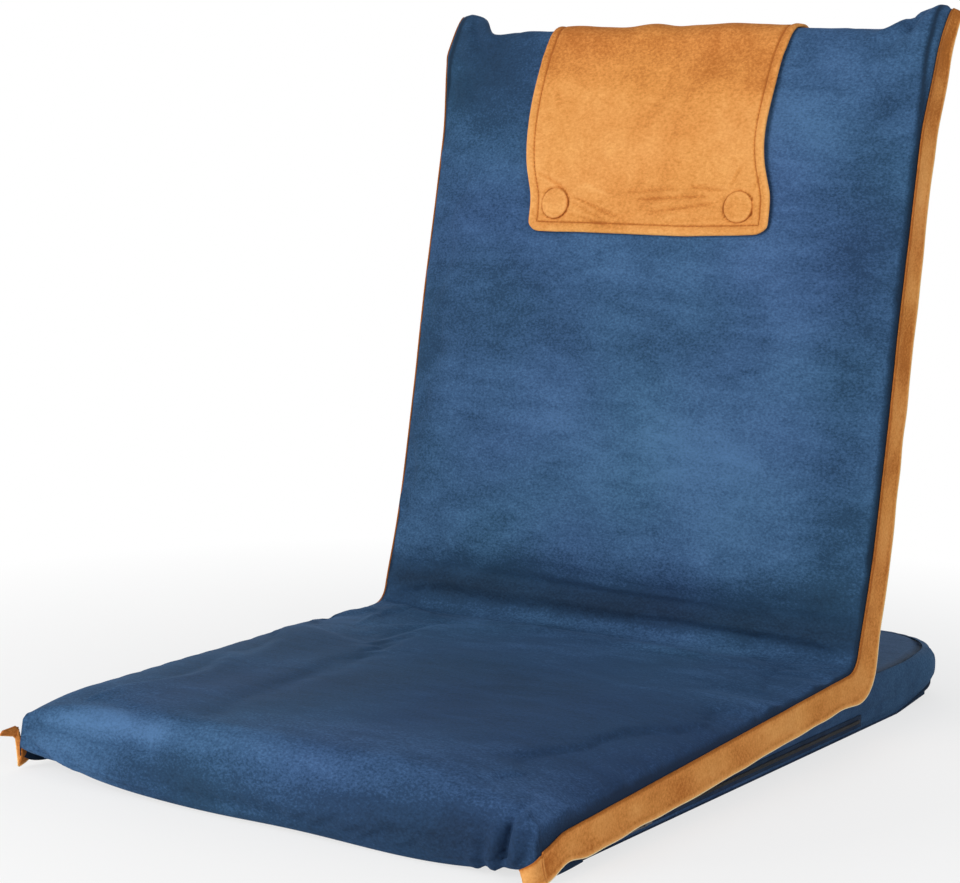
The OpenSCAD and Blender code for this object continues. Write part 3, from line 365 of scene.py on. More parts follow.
def hard(name, colour, metal, rough, scratch=(1, 1, 1), scale=60.0, depth=0.00005, spread=0.14):
    """Painted, plated or moulded surface."""
    material = bpy.data.materials.new(name)
    material.use_nodes = True
    tree = material.node_tree
    shader = tree.nodes["Principled BSDF"]
    grain = noise(tree, scale, 4.0, 0.6, scratch)
    cloud = noise(tree, 14.0, 2.0)
    darker = tuple(c * 0.75 for c in colour)
    lighter = tuple(min(1.0, c * 1.15) for c in colour)
    stops = [(0.3, darker), (0.5, colour), (0.75, lighter)]
    tree.links.new(ramp(tree, cloud, stops), shader.inputs["Base Color"])
    tree.links.new(times(tree, grain, spread, rough - spread / 2), shader.inputs["Roughness"])
    shader.inputs["Metallic"].default_value = metal
    tree.links.new(bump(tree, grain, 0.3, depth), shader.inputs["Normal"])
    return material


paint = hard("black_paint", (0.022, 0.022, 0.024), 0.0, 0.42, depth=0.0001)
zinc = hard("zinc_plate", (0.55, 0.56, 0.57), 1.0, 0.36, (1, 8, 1), 90.0)
plastic = hard("black_plastic", (0.02, 0.02, 0.022), 0.0, 0.5, scale=300.0)
nickel = hard("dark_nickel", (0.2, 0.2, 0.21), 1.0, 0.33, (1, 5, 1), 120.0)
finishes = {
    "blue_velvet": velvet, "orange_suede": suede, "base_fabric": base_cloth, "foam": foam,
    "black_webbing": webbing, "frame_paint": paint, "zinc_steel": zinc, "black_plastic": plastic,
    "zip_metal": nickel,
}
for part in frame["record"]["subparts"]:
    mesh = nodes[part["node"]].data
    mesh.materials.clear()
    mesh.materials.append(finishes[part["material_slot"]])
print("finishes on", len(nodes), "CAD nodes")

# %% [markdown]
# ## Meshes from grids
# Every soft piece here is a sheet that follows a path, so each one starts as a grid
# of points. A grid is easy to crown, crease and pleat before it becomes a mesh.

# %% Grid helpers


def grid_faces(rows, columns, offset=0, flip=False):
    """Quads of a grid whose points lie row after row."""
    faces = []
    for j in range(rows - 1):
        for i in range(columns - 1):
            a = offset + j * columns + i
            face = (a, a + 1, a + 1 + columns, a + columns)
            faces.append(face[::-1] if flip else face)
    return faces


def ring_faces(rings, sides, base=0, flip=False):
    """Quads between closed rings of points that lie one ring after another."""
    faces = []
    for j in range(rings - 1):
        for i in range(sides):
            a = base + j * sides + i
            b = base + j * sides + (i + 1) % sides
            faces.append((a, a + sides, b + sides, b) if flip else (a, b, b + sides, a + sides))
    return faces


def add_piece(name, points, faces, material):
    """Smooth mesh object from points in millimetres."""
    mesh = bpy.data.meshes.new(name)
    mesh.from_pydata([tuple(p) for p in np.asarray(points, float) * MM], [], faces)
    mesh.materials.append(material)
    mesh.update()
    mesh.polygons.foreach_set("use_smooth", [True] * len(mesh.polygons))
    obj = bpy.data.objects.new(name, mesh)
    bpy.context.scene.collection.objects.link(obj)
    return obj


def with_nap_and_shading(obj, values):
    """Stores, point by point, how the pile is brushed and where shade and highlights are painted."""
    layer = obj.data.attributes.new("nap_and_shading", "FLOAT", "POINT")
    layer.data.foreach_set("value", np.asarray(values, float).ravel().astype(np.float32))


def normals(grid):
    """Unit normals of a grid of points."""
    along = np.gradient(grid, axis=0)
    across = np.gradient(grid, axis=1)
    n = np.cross(across, along)
    return n / np.maximum(np.linalg.norm(n, axis=-1, keepdims=True), 1e-9)


def shell(outer, inner):
    """Points and faces of a closed sheet between two grids of the same size."""
    rows, columns = outer.shape[:2]
    points = np.concatenate([outer.reshape(-1, 3), inner.reshape(-1, 3)])
    count = rows * columns
    faces = grid_faces(rows, columns) + grid_faces(rows, columns, count, flip=True)
    for j in range(rows - 1):
        a, b = j * columns, (j + 1) * columns
        faces.append((a, b, b + count, a + count))
        a, b = a + columns - 1, b + columns - 1
        faces.append((b, a, a + count, b + count))
    for i in range(columns - 1):
        faces.append((i + 1, i, i + count, i + 1 + count))
        a = (rows - 1) * columns + i
        faces.append((a, a + 1, a + 1 + count, a + count))
    return points, faces


def hump(v, at, wide):
    """Smooth bump of height 1 at a place; wide says how far it spreads."""
    return np.exp(-((v - at) / wide) ** 2)


def waves(a, b, low, high, seed, count=9):
    """Smooth noise over two coordinates: plain waves with lengths from low to high, added up."""
    random = np.random.default_rng(seed)
    result = np.zeros(np.broadcast(a, b).shape)
    for _ in range(count):
        turn = random.uniform(0, math.pi)
        length = random.uniform(low, high)
        phase = random.uniform(0, 2 * math.pi)
        result += np.sin(2 * math.pi * (a * math.cos(turn) + b * math.sin(turn)) / length + phase)
    return result / math.sqrt(count)


def fold(a, b, start, end, width, height):
    """Ridge, or groove where height is negative, along a line that fades at its ends."""
    (a0, b0), (a1, b1) = start, end
    da, db = a1 - a0, b1 - b0
    length = math.hypot(da, db)
    along = np.clip(((a - a0) * da + (b - b0) * db) / length ** 2, 0, 1)
    off = np.hypot(a - a0 - along * da, b - b0 - along * db)
    taper = 0.25 + 0.75 * np.clip(1 - (2 * along - 1) ** 4, 0, 1)
    return height * taper * np.exp(-(off / width) ** 2)


print("grid helpers ready")

# %% Smooth curve through values


def curve(places, values):
    """Natural cubic spline through values at given places."""
    x = np.asarray(places, float)
    y = np.asarray(values, float)
    h = np.diff(x)
    last = len(x) - 1
    system = np.eye(last + 1)
    right_side = np.zeros(last + 1)
    for i in range(1, last):
        system[i, i - 1:i + 2] = h[i - 1], 2 * (h[i - 1] + h[i]), h[i]
        right_side[i] = 6 * ((y[i + 1] - y[i]) / h[i] - (y[i] - y[i - 1]) / h[i - 1])
    bend = np.linalg.solve(system, right_side)

    def at(v):
        v = np.clip(v, x[0], x[-1])
        i = np.clip(np.searchsorted(x, v) - 1, 0, last - 1)
        t = v - x[i]
        slope_here = (y[i + 1] - y[i]) / h[i] - h[i] * (2 * bend[i] + bend[i + 1]) / 6
        return y[i] + t * slope_here + t ** 2 * bend[i] / 2 + t ** 3 * (bend[i + 1] - bend[i]) / (6 * h[i])

    return at


def smooth(v, low, high):
    """Rises smoothly from 0 at low to 1 at high."""
    t = np.clip((v - low) / (high - low), 0, 1)
    return t * t * (3 - 2 * t)


def finer(grid):
    """Grid with one more row and column between each two, on smooth curves."""
    for axis in (0, 1):
        a = np.moveaxis(grid, axis, 0)
        before = np.concatenate([2 * a[:1] - a[1:2], a[:-2]])
        after = np.concatenate([a[2:], 2 * a[-1:] - a[-2:-1]])
        between = (9 * (a[:-1] + a[1:]) - before - after) / 16
        result = np.empty((2 * len(a) - 1, *a.shape[1:]))
        result[::2] = a
        result[1::2] = between
        grid = np.moveaxis(result, 0, axis)
    return grid


print("curve test", curve([0, 1, 2], [0, 1, 0])(0.5).round(3))

# %% [markdown]
# ## Seat and back cover
# One velvet cover runs from under the front of the seat over the cushion, through
# the crease, up the back and over its top edge. Drawing it in one grid keeps the
# crease closed. Its rows follow that path and its columns run across the chair.
# The sides draw in towards the seams, and each top corner stands up as an ear.

# %% Sizes of the cushions
cover_half = 221.85
band_half = 11.0
reach_seat = 446.0
reach_back = 497.0
turn_z = 483.8
lip_start = 398.0
hem_drop = 26.0
ear_rise = 25.0
ear_flare = 6.0
snap_x = 85.5
snap_z = 354.5
lip_z = -11.2
seat_crown = 29.0
back_crown = 13.0
crease_reach = 24.0
crease = band_half / math.tan(math.radians(104.6) / 2)
back_edge = curve([0, 24, 50, 95, 150, 210, 270, 340, 430, 500], [11, 11, 8.5, 5, 4.5, 5, 6.5, 6, 6, 6])
low_edge = curve([-1, -0.97, -0.73, -0.53, -0.07, 0.36, 0.66, 0.8, 0.9, 1],
                 [-1, -1.5, -7.5, -13, -15.2, -15.6, -15.6, -13, -10, -8])
print("seat and back meet", round(crease, 1), "mm from the fold axis")

# %% Heights of the cushions


def crown(q, power=0.45):
    """Share of the full crown at a share of the half width."""
    return np.clip(1 - np.abs(q) ** 4, 0, 1) ** power


def seat_top(d, q):
    """Height of the seat cushion at a distance from the fold axis and a share across."""
    v = np.clip((d - crease) / (reach_seat - crease), 0, 1.1)
    middle = band_half + seat_crown * v + 1.0 * np.sin(math.pi * np.clip(v, 0, 1))
    middle = middle + 5.5 * smooth(-q, 0.55, 0.88) * smooth(d, 60, 180) * (1 - smooth(d, 385, 432))
    side = band_half - 6 * smooth(d, 418, 448)
    return side + (middle - side) * np.where(q < 0, crown(q, 0.22), crown(q, 0.36))


def back_front(z, q):
    """Depth of the back cushion at a height and a share across."""
    v = np.clip((z - crease) / 280.0, 0, 1)
    middle = band_half + back_crown * (1 - (1 - v) ** 2) - 9 * smooth(z, 372, 490)
    side = back_edge(z)
    return side + (middle - side) * crown(q)


def shoulder_r(q):
    """Radius between the front and the top of the seat."""
    return 2 + 17 * crown(q)


print("seat height at its middle", seat_top(250, 0).round(1), "back depth", back_front(250, 0).round(1))

# %% Rows of the seat


def lip_row(q, v):
    """Lining under the front of the seat, up to its lower edge."""
    reach = reach_seat - lip_start + 5 * crown(q)
    return seat_place(q * cover_half, lip_start + v * reach, lip_z + (low_edge(q) - lip_z) * v ** 3)


def front_row(q, v):
    """Front of the seat, from the lower edge up; it bulges a little."""
    s = crown(q)
    r = shoulder_r(q)
    z = low_edge(q) + (seat_top(reach_seat - r, q) - r - low_edge(q)) * v
    bulge = 6.5 * s * np.sin(math.pi * v) ** 0.8 + 6 * s * (1 - v) ** 2 - 2.0 * (1 - min(1, v * 5)) ** 2
    return seat_place(q * cover_half, reach_seat + bulge, z)


def shoulder_row(q, v):
    """Rounded edge between the front and the top of the seat."""
    r = shoulder_r(q)
    d1 = reach_seat - r
    a = math.pi / 2 * v
    return seat_place(q * cover_half, d1 + r * math.cos(a), seat_top(d1, q) - r + r * math.sin(a))


def seat_row(q, v):
    """Top of the seat, from the front to the crease."""
    d = (reach_seat - shoulder_r(q)) * (1 - v) + crease_reach * v
    return seat_place(q * cover_half, d, seat_top(d, q))


print("front edge at", front_row(0.0, 0.5).round(1))

# %% Rows of the crease and the back


def crease_row(q, v):
    """Rounded inner corner between the seat and the back."""
    start = seat_place(q * cover_half, crease_reach, seat_top(crease_reach, q))
    end = back_place(q * cover_half, -back_front(crease_reach, q), crease_reach)
    corner = seat_place(q * cover_half, crease, 10.0)
    return (1 - v) ** 2 * start + 2 * v * (1 - v) * corner + v ** 2 * end


def ear_share(q, z):
    """Share of the ear at a place across, from its foot up the back."""
    return smooth(np.abs(q), 0.82, 0.97) ** 1.2 * smooth(z, 410, turn_z + 10)


def back_row(q, v):
    """Front of the back, from the crease up."""
    z = crease_reach + (turn_z - crease_reach) * v
    x = q * (cover_half + ear_flare * ear_share(q, z))
    return back_place(x, -back_front(z, q), z)


def top_row(q, v):
    """Top edge of the back, raised to an ear at each side."""
    ear = ear_share(q, 500)
    a = math.pi * (1 - v)
    reach = back_front(turn_z, q) if a > math.pi / 2 else band_half
    rise = reach_back - turn_z + 9 * crown(q) + ear_rise * ear
    x = q * (cover_half + ear_flare * ear)
    return back_place(x, reach * math.cos(a) + 12 * ear * math.sin(a), turn_z + rise * math.sin(a) ** 0.9)


def rear_row(q, v):
    """Hem behind the top edge."""
    z = turn_z - hem_drop * v
    return back_place(q * (cover_half + ear_flare * ear_share(q, z)), band_half + 0.8, z)


print("top edge at", top_row(0.0, 0.5).round(1))

# %% Grid of the cover
spread = np.linspace(-1, 1, 105)
q = 0.42 * np.sin(spread * math.pi / 2) + 0.58 * spread
stretches = [(lip_row, 5), (front_row, 13), (shoulder_row, 6), (seat_row, 62), (crease_row, 8),
             (back_row, 72), (top_row, 18), (rear_row, 5)]
counts = [count for _, count in stretches]
back_start = sum(counts[:5])
crease_at = sum(counts[:4]) + counts[4] // 2
rows = []
for row, count in stretches:
    for k in range(count):
        rows.append(row(q, k / count))
rows.append(rear_row(q, 1.0))
cover = np.array(rows)
print("cover grid", cover.shape[:2])

# %% [markdown]
# ## Letting the cover relax
# A sewn cover is a little larger than its cushion. Blender's Cloth gives that look:
# the cover is held at its seams, blown up a little from inside and made a few per
# cent too large, so it swells in the middle and puckers along the seams. A cap on
# how far a point may move keeps it within the room that the CAD leaves. The cloth is
# left still where the snaps hold it and at the ears.

# %% Cloth run


def relax(points, faces, pins, pressure, slack, frames, cap):
    """Points of a sheet after a short Cloth run; cap limits, softly, how far they move."""
    obj = add_piece("relaxing_sheet", points, faces, velvet)
    group = obj.vertex_groups.new(name="pins")
    for weight in np.unique(pins):
        if weight > 0:
            group.add([int(i) for i in np.flatnonzero(pins == weight)], float(weight), "REPLACE")
    run = obj.modifiers.new("cloth", "CLOTH")
    settings = run.settings
    settings.quality = 5
    settings.mass = 0.3
    settings.tension_stiffness = 15
    settings.compression_stiffness = 15
    settings.shear_stiffness = 5
    settings.bending_stiffness = 0.5
    settings.use_pressure = True
    settings.uniform_pressure_force = pressure
    settings.shrink_min = -slack
    settings.shrink_max = -slack
    settings.vertex_group_mass = "pins"
    settings.effector_weights.gravity = 0
    run.collision_settings.use_collision = False
    run.point_cache.frame_end = frames
    scene = bpy.context.scene
    for number in range(1, frames + 1):
        scene.frame_set(number)
    evaluated = obj.evaluated_get(bpy.context.evaluated_depsgraph_get())
    moved = np.empty(len(points) * 3)
    evaluated.data.vertices.foreach_get("co", moved)
    moved = moved.reshape(-1, 3) / MM
    bpy.data.objects.remove(obj, do_unlink=True)
    scene.frame_set(1)
    shift = moved - points
    far = np.linalg.norm(shift, axis=1, keepdims=True)
    print("cloth moved", far.max().round(2), "mm at most,", far.mean().round(2), "on average")
    far = np.maximum(far, 1e-6)
    return points + shift * cap * (1 - np.exp(-far / cap)) / far


print("cloth helper ready")

# %% Relaxed cover
pins = np.zeros(cover.shape[:2])
pins[:8] = 1
pins[-5:] = 1
pins[:, :1] = 1
pins[:, -1:] = 1
pins[crease_at - 3:crease_at + 4] = 1
inward_limit = 0.8
loose = relax(cover.reshape(-1, 3), grid_faces(*cover.shape[:2]), pins.ravel(),
              pressure=1.0, slack=0.03, frames=16, cap=3.2)
shift = loose.reshape(cover.shape) - cover
facing = normals(cover)
inwards = np.minimum(np.sum(shift * facing, -1) + inward_limit, 0)
shift = shift - facing * inwards[..., None]
held_still = np.zeros(cover.shape[:2])
for side in (-1, 1):
    snap = back_place(side * snap_x, -24.0, snap_z)
    ear = back_place(side * 222, 0, 520.0)
    for spot, reach, amount in ((snap, 26, 1.0), (ear, 55, 0.8)):
        near = amount * hump(np.linalg.norm(cover - spot, axis=-1), 0, reach)
        held_still = np.maximum(held_still, near)
cover = cover + shift * (1 - held_still)[..., None]
print("points held:", int(pins.sum()), "of", pins.size)

# %% Finer grid and distances along the cover
cover = finer(cover)
rows_all, columns = cover.shape[:2]
crease_at *= 2
steps = np.linalg.norm(np.diff(cover[:, columns // 2], axis=0), axis=1)
run_middle = np.concatenate([[0], np.cumsum(steps)])
run_middle -= run_middle[crease_at]
run = run_middle[:, None] + 0 * cover[..., 0]
x_run = cover[..., 0].copy()
print("finer grid", rows_all, columns, "run", run_middle[0].round(), "to", run_middle[-1].round())

# %% [markdown]
# ## Folds of the cover
# Some folds are typical of this chair. The back cushion rolls under above the
# crease, a long sharp fold crosses it, and short folds meet at each inner corner.
# The front corners are gathered, and the cover puckers along its side seams. Each
# fold is a ridge or a groove along a line across (x) and along the cover (run).

# %% Folds
folds = [
    # roll above the crease, and the sharp fold under it
    ((-212, 58), (216, 54), 14, 4.6), ((-214, 33), (216, 27), 4.6, -6.0),
    ((-46, 42), (214, 33), 2.8, -3.0), ((-60, 22), (212, 15), 5.0, 2.2),
    ((-180, 27), (216, 21), 1.9, -2.4), ((-110, 47), (214, 41), 1.6, -1.4),
    ((20, 14), (216, 8), 2.2, -2.2), ((-190, 70), (-60, 76), 2.4, 1.0),
    ((200, 508), (208, 470), 3.0, -3.0), ((-190, 40), (-60, 40), 5.0, -1.8),
    ((30, 18), (214, 12), 4.0, -2.6), ((-160, 20), (-20, 24), 6, 1.6),
    # roll of the seat before the crease
    ((-200, -34), (200, -38), 13, 2.8), ((40, -46), (120, -42), 5, 2.4),
    ((-70, -20), (190, -20), 4.5, -2.4), ((-60, -30), (-150, -16), 4.0, 2.2),
    ((-20, -44), (-80, -26), 4.0, 1.8),
    # inner corners
    ((216, 6), (150, 30), 5, 2.4), ((216, -4), (140, -26), 4.5, 2.2),
    ((216, 2), (120, 8), 3.6, -3.0), ((216, -12), (170, -52), 5, 1.6),
    ((212, -30), (150, -60), 4.5, -1.2), ((-216, 8), (-120, 34), 5, 2.6),
    ((-216, 0), (-110, -10), 4.5, -3.0), ((-216, -10), (-130, -44), 6, 3.0),
    ((-216, -30), (-160, -92), 7, 2.2), ((-216, 20), (-170, 78), 6, 1.8),
    ((-190, -34), (-176, -96), 4, 1.4),
    # faint lines that run along the front edge
    ((-150, -474), (60, -478), 3.4, -1.0), ((-60, -466), (150, -470), 5.0, 1.0),
    ((40, -452), (170, -456), 6, -0.9), ((-170, -462), (-60, -468), 4.0, 0.9),
    # ears
    ((214, 512), (172, 484), 5, 2.6), ((214, 500), (180, 470), 4.2, -2.4),
    ((212, 486), (176, 446), 5, 1.8), ((-214, 512), (-174, 486), 5, 2.6),
    ((-214, 500), (-180, 470), 4.2, -2.6), ((-212, 484), (-180, 440), 5, 1.4),
    ((196, 512), (150, 506), 5, -1.8), ((-196, 512), (-150, 506), 5, -1.8),
    ((-214, 452), (-150, 446), 4, -1.0),
]
lift = 0.45 * waves(x_run, run, 90, 220, 3) * crown(x_run / cover_half)
for start, end, width, height in folds:
    lift += fold(x_run, run, start, end, width, height)
side_share = np.maximum(1 - np.abs(x_run / np.abs(x_run[:, :1])), 0)
pucker = np.exp(-side_share / 0.06) * (1 - np.exp(-side_share / 0.01))
lift += 1.3 * pucker * waves(0 * run, run, 15, 42, 8) * (1 - 0.6 * (run < -40) * (x_run < 0))
lift += 0.9 * hump(run, 508, 14) * waves(x_run, 0 * run, 22, 60, 9)
print(len(folds), "folds, highest", round(float(lift.max()), 1), "deepest", round(float(lift.min()), 1))

# %% [markdown]
# ## Gathered front corners
# Where the front closes on the band, the velvet is gathered: narrow pleats run up
# from the lower edge and one of them opens into a dark pocket. They stand on the
# front face only, so they are written in its own coordinates, across and height.

# %% Front corners
to_seat = cover - np.array([0, pivot_y, pivot_z])
high = -to_seat[..., 1] * math.sin(slope) + to_seat[..., 2] * math.cos(slope)
out = -to_seat[..., 1] * math.cos(slope) - to_seat[..., 2] * math.sin(slope)
on_front = (run < -400) & (out > 425)
pleats = [
    ((196, -8), (199, 20), 2.8, -7.0), ((199, 20), (206, 27), 3.0, -3.0),
    ((189, -15), (190, 18), 2.8, 2.4), ((183, -15), (181, 14), 2.6, -1.8),
    ((177, -15), (172, 14), 3.0, 1.5), ((205, -6), (207, 22), 3.2, 3.0),
    ((212, -4), (216, 18), 2.4, -2.0), ((213, 24), (196, 36), 4.0, 2.0),
    ((-214, 8), (-168, -11), 3.0, -2.4), ((-208, 12), (-160, -9), 2.6, 1.8),
    ((-200, 2), (-150, -12), 2.4, -1.8), ((-216, 14), (-196, 8), 2.4, -1.6),
]
for start, end, width, height in pleats:
    lift += fold(x_run, high, start, end, width, height) * on_front
seam = np.clip(side_share / 0.014, 0, 1)
ends = np.clip((run - run[4, 0]) / 12, 0, 1) * np.clip((run[-9, 0] - run) / 8, 0, 1)
cover = cover + normals(cover) * (lift * seam * ends)[..., None]
print(len(pleats), "pleats on", int(on_front.any(1).sum()), "rows of the front")

# %% [markdown]
# ## Room for the frame
# The cover lies over the tubes and hinges, so it can't pass through them. A ray from
# outside each point, back along its normal, finds the frame under the cloth. Where
# the cloth would lie too near, it is lifted, and the lift fades into its surroundings.

# %% Room for the frame


def search_tree(names):
    """One search tree of several CAD pieces, in millimetres."""
    tree_points, tree_faces = [], []
    for name in names:
        obj = bpy.data.objects[name]
        base = len(tree_points)
        tree_points += [obj.matrix_world @ vertex.co / MM for vertex in obj.data.vertices]
        tree_faces += [tuple(base + i for i in polygon.vertices) for polygon in obj.data.polygons]
    return BVHTree.FromPolygons(tree_points, tree_faces)


print("search tree helper ready")

# %% Cover lifted off the frame
under_cover = [
    "seat_frame_tube", "seat_cross_tube", "back_frame_tube", "back_cross_tube", "back_webbing",
    "seat_webbing", "hinge_bracket_right", "hinge_bracket_left", "hinge_pin_right", "hinge_pin_left",
    "ratchet_arm_right", "ratchet_arm_left", "pawl_right", "pawl_left", "pawl_pins", "arm_rivets",
    "bracket_rivets", "pawl_spring_right", "pawl_spring_left", "foot_bolts",
]
frame_under = search_tree(under_cover)
out_from = 16.0
room = 1.6
needed = np.zeros(cover.shape[:2])
facing = normals(cover)
for j in range(rows_all):
    for i in range(columns):
        p, n = Vector(cover[j, i]), Vector(facing[j, i])
        hit, _, _, distance = frame_under.ray_cast(p + n * out_from, -n, out_from + room)
        if hit is not None:
            needed[j, i] = out_from + room - distance
spread_lift = needed.copy()
for _ in range(4):
    padded = np.pad(spread_lift, 1, mode="edge")
    around = (padded[:-2, 1:-1] + padded[2:, 1:-1] + padded[1:-1, :-2] + padded[1:-1, 2:]) / 4
    spread_lift = np.maximum(needed, 0.5 * spread_lift + 0.5 * around)
cover = cover + facing * spread_lift[..., None]
cover[..., 2] = np.maximum(cover[..., 2], 0.4)
print("points moved off the frame:", int((needed > 0).sum()), "by at most", round(float(needed.max()), 1))

# %% [markdown]
# ## Cover piece
# The cover's edge turns in behind the bands. Spots, each with a place, a size and an
# amount, give the velvet its broad light and dark patches: some are brushed pile,
# others are painted shade and painted highlights. A dark line painted along each side
# seam stands for shade where the cover turns in. The piece runs from the seat through
# the crease and up the back.

# %% Edges that turn in


def tucked(grid, turn):
    """Adds two columns at each side that turn in behind the band."""
    edges = []
    for edge, sign in ((grid[:, 0], -1), (grid[:, -1], 1)):
        first = edge + turn * 1.6
        first[:, 0] += sign * 0.5
        second = edge + turn * 6.0
        second[:, 0] += sign * 0.7
        edges.append((first, second))
    (a, b), (c, d) = edges
    return np.concatenate([b[:, None], a[:, None], grid, c[:, None], d[:, None]], 1)


seat_down = seat_place(0, 0, -1) - seat_place(0, 0, 0)
back_behind = back_place(0, 1, 0) - back_place(0, 0, 0)
turn_share = smooth(run_middle, -28, 34)
angle_a = math.atan2(seat_down[2], seat_down[1])
angle_b = math.atan2(back_behind[2], back_behind[1])
angle = angle_a + (angle_b - angle_a) * turn_share
inward = np.stack([0 * angle, np.cos(angle), np.sin(angle)], -1)
bare_cover = cover
cover = tucked(cover, inward)
print("cover with turned edges", cover.shape[:2])

# %% Brushed pile and painted shade
x_nap_and_shading = cover[..., 0]
run_nap_and_shading = run_middle[:, None] + 0 * x_nap_and_shading
# Brushed pile, and painted shade and highlights. Painted shade: the seat's top, which faces up away from
# the low lamp; the front face, most at its right; the crease, the roll above it and the inner corners.
# Painted highlights: along the front shoulder, most at its left, and a small spot on the seat's roll. The
# back is also darker along its sides and over its top edge. The other spots are lighter and darker patches
# of pile.
brushed_and_shaded_spots = [
    (-150, 440, 90, 60, -0.9), (0, 530, 240, 26, -1.1), (40, 130, 150, 60, 0.6),
    (120, 300, 60, 90, 0.4), (-120, 260, 60, 120, -0.35), (60, 40, 170, 16, -1.0),
    (0, -24, 240, 28, -0.6), (-120, -436, 70, 14, 1.8), (60, -436, 90, 12, 0.5),
    (120, -300, 110, 120, -0.3), (-100, -200, 90, 120, 0.4), (140, -470, 80, 22, -0.6),
    (-190, -20, 50, 50, -0.6), (75, -46, 30, 7, 0.6), (190, 200, 26, 260, -0.5),
    (-205, 200, 20, 260, -0.5), (0, -240, 400, 150, -2.0), (0, 95, 200, 60, -0.4),
    (0, 20, 260, 13, -2.6), (-170, 490, 60, 60, -0.8), (60, -470, 150, 30, -1.0),
    (190, -460, 60, 40, -0.9), (-60, -470, 60, 20, -0.4),
]
# Painted shade: a dark line along each side, where the cover turns in at the seam
nap_and_shading = -3.0 * np.exp(-((cover_half + 0.3 - np.abs(x_nap_and_shading)) / 2.0) ** 2)
for x0, t0, wide, long, amount in brushed_and_shaded_spots:
    nap_and_shading = nap_and_shading + amount * np.exp(-((x_nap_and_shading - x0) / wide) ** 2 - ((run_nap_and_shading - t0) / long) ** 2)
print(len(brushed_and_shaded_spots), "brushed places")

# %% Cover piece
faces = grid_faces(*cover.shape[:2])
seat_back_cover = add_piece("seat_back_cover", cover.reshape(-1, 3), faces, velvet)
with_nap_and_shading(seat_back_cover, nap_and_shading)
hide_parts("seat_cover", "bend_cover", "back_cover", "seat_foam", "back_foam",
            "seat_heel_foam", "back_heel_foam")
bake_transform(seat_back_cover)
print("cover faces", len(faces))

# %% [markdown]
# ## Side bands
# A suede strip closes each side of the cushions. It is sewn to the edge of the
# cover, so its inner edge is taken from the cover's own outermost column. Its outer
# edge is raw: it flares a little and shows a pale line. The front end hangs loose
# past the cushion, twisted and cut off, and the top end folds round the ear.

# %% Path and width of a side band
band_first = int(np.searchsorted(run_middle, -452))
band_last = int(np.searchsorted(run_middle, 514))
tab_rows = 8


def band_path(side):
    """Sewn edge of a band with its loose front tab: points, places along it, turns and tab widths."""
    edge = bare_cover[band_first:band_last, -1 if side > 0 else 0].copy()
    along = run_middle[band_first:band_last]
    turn = inward[band_first:band_last]
    t = np.linspace(1, 0, tab_rows + 1)[:-1]
    if side > 0:
        tab = seat_place(cover_half - 9 * t ** 2, reach_seat + 13 * t, 4.5 - 8 * t)
        tab_width = 19.5 - 7.5 * t
    else:
        tab = seat_place(-cover_half - 1.5 * t, reach_seat + 13 * t, 17 - 1 * t)
        tab_width = 9.5 - 5 * t
        edge[:, 2] += 12 * smooth(-along, 418, 446)
    edge = np.concatenate([tab, edge])
    along = np.concatenate([along[0] - 15 * t - 1, along])
    turn = np.concatenate([np.repeat(turn[:1], tab_rows, 0), turn])
    return edge, along, turn, tab_width


def band_width(side, along, spoil, tab_width):
    """Width along a band: wide at the crease, narrow at the front and at the ear."""
    width = 24.2 - 2.4 * smooth(along, -60, 60) + 6.5 * hump(along, 4, 17) + spoil
    width += 4.0 * hump(along, 70, 50) - 4.6 * smooth(-along, 395, 440)
    width -= 4.0 * hump(along, -398, 16) + 8.0 * smooth(along, 450, 512)
    width -= 10.5 * smooth(-along, 420, 446) * (side < 0)
    width[:tab_rows] = tab_width
    return width


print("bands run from", run_middle[band_first].round(1), "to", run_middle[band_last].round(1))

# %% Surface, nap and painted shade of a side band
band_across = np.array([0, 0.04, 0.1, 0.2, 0.32, 0.46, 0.6, 0.72, 0.84, 0.93, 0.975, 1.0])


def band_surface(side, edge, along, turn, width, spoil, twist):
    """Middle of a band's thickness, from its sewn edge to its cut edge."""
    no_x = 0 * along
    crumple = 1.3 * waves(no_x, along, 14, 30, 17 + side) * smooth(along, 430, 490)
    crumple += 0.5 * waves(no_x, along, 24, 70, 23 + side)
    crumple += 1.0 * waves(no_x, along, 12, 26, 19 + side) * smooth(-along, 405, 436)
    lines = []
    for w in band_across:
        line = edge + turn * (1.0 + (width - 1.0) * w)[:, None]
        flare = 1.7 + 3.4 * w ** 1.6 + 0.5 * spoil * w - 3.2 * twist * math.sin(math.pi * w)
        flare = flare + crumple * math.sin(math.pi * min(1, w * 1.1)) + 0.5 * hump(w, 0.12, 0.08)
        line[:, 0] += side * (flare + 5 * w * smooth(along, 465, 500) * (side < 0))
        lines.append(line)
    surface = np.array(lines).transpose(1, 0, 2)
    surface[..., 2] = np.maximum(surface[..., 2], 0.9)
    return surface


def band_nap_and_shading(side, along, spoil, twist):
    """Painted shade at the seam and in the twists, darker to the top, patches, and a dark line inside the
    pale cut edge.
    """
    w = band_across[None]
    patches = (0.5 * waves(0 * along, along, 24, 90, 25 + side))[:, None]
    nap_and_shading = -1.6 * hump(w, 0.02, 0.05) - (1.4 * twist)[:, None] * hump(w, 0.45, 0.3)
    nap_and_shading = nap_and_shading - (0.5 * smooth(along, 380, 470))[:, None]
    nap_and_shading = nap_and_shading + patches * np.sin(math.pi * w)
    nap_and_shading = nap_and_shading - 0.6 * hump(w + 0.02 * spoil[:, None], 0.8, 0.05)
    return nap_and_shading + 1.6 * hump(w, 0.98, 0.05)


print("each band has", len(band_across), "columns")

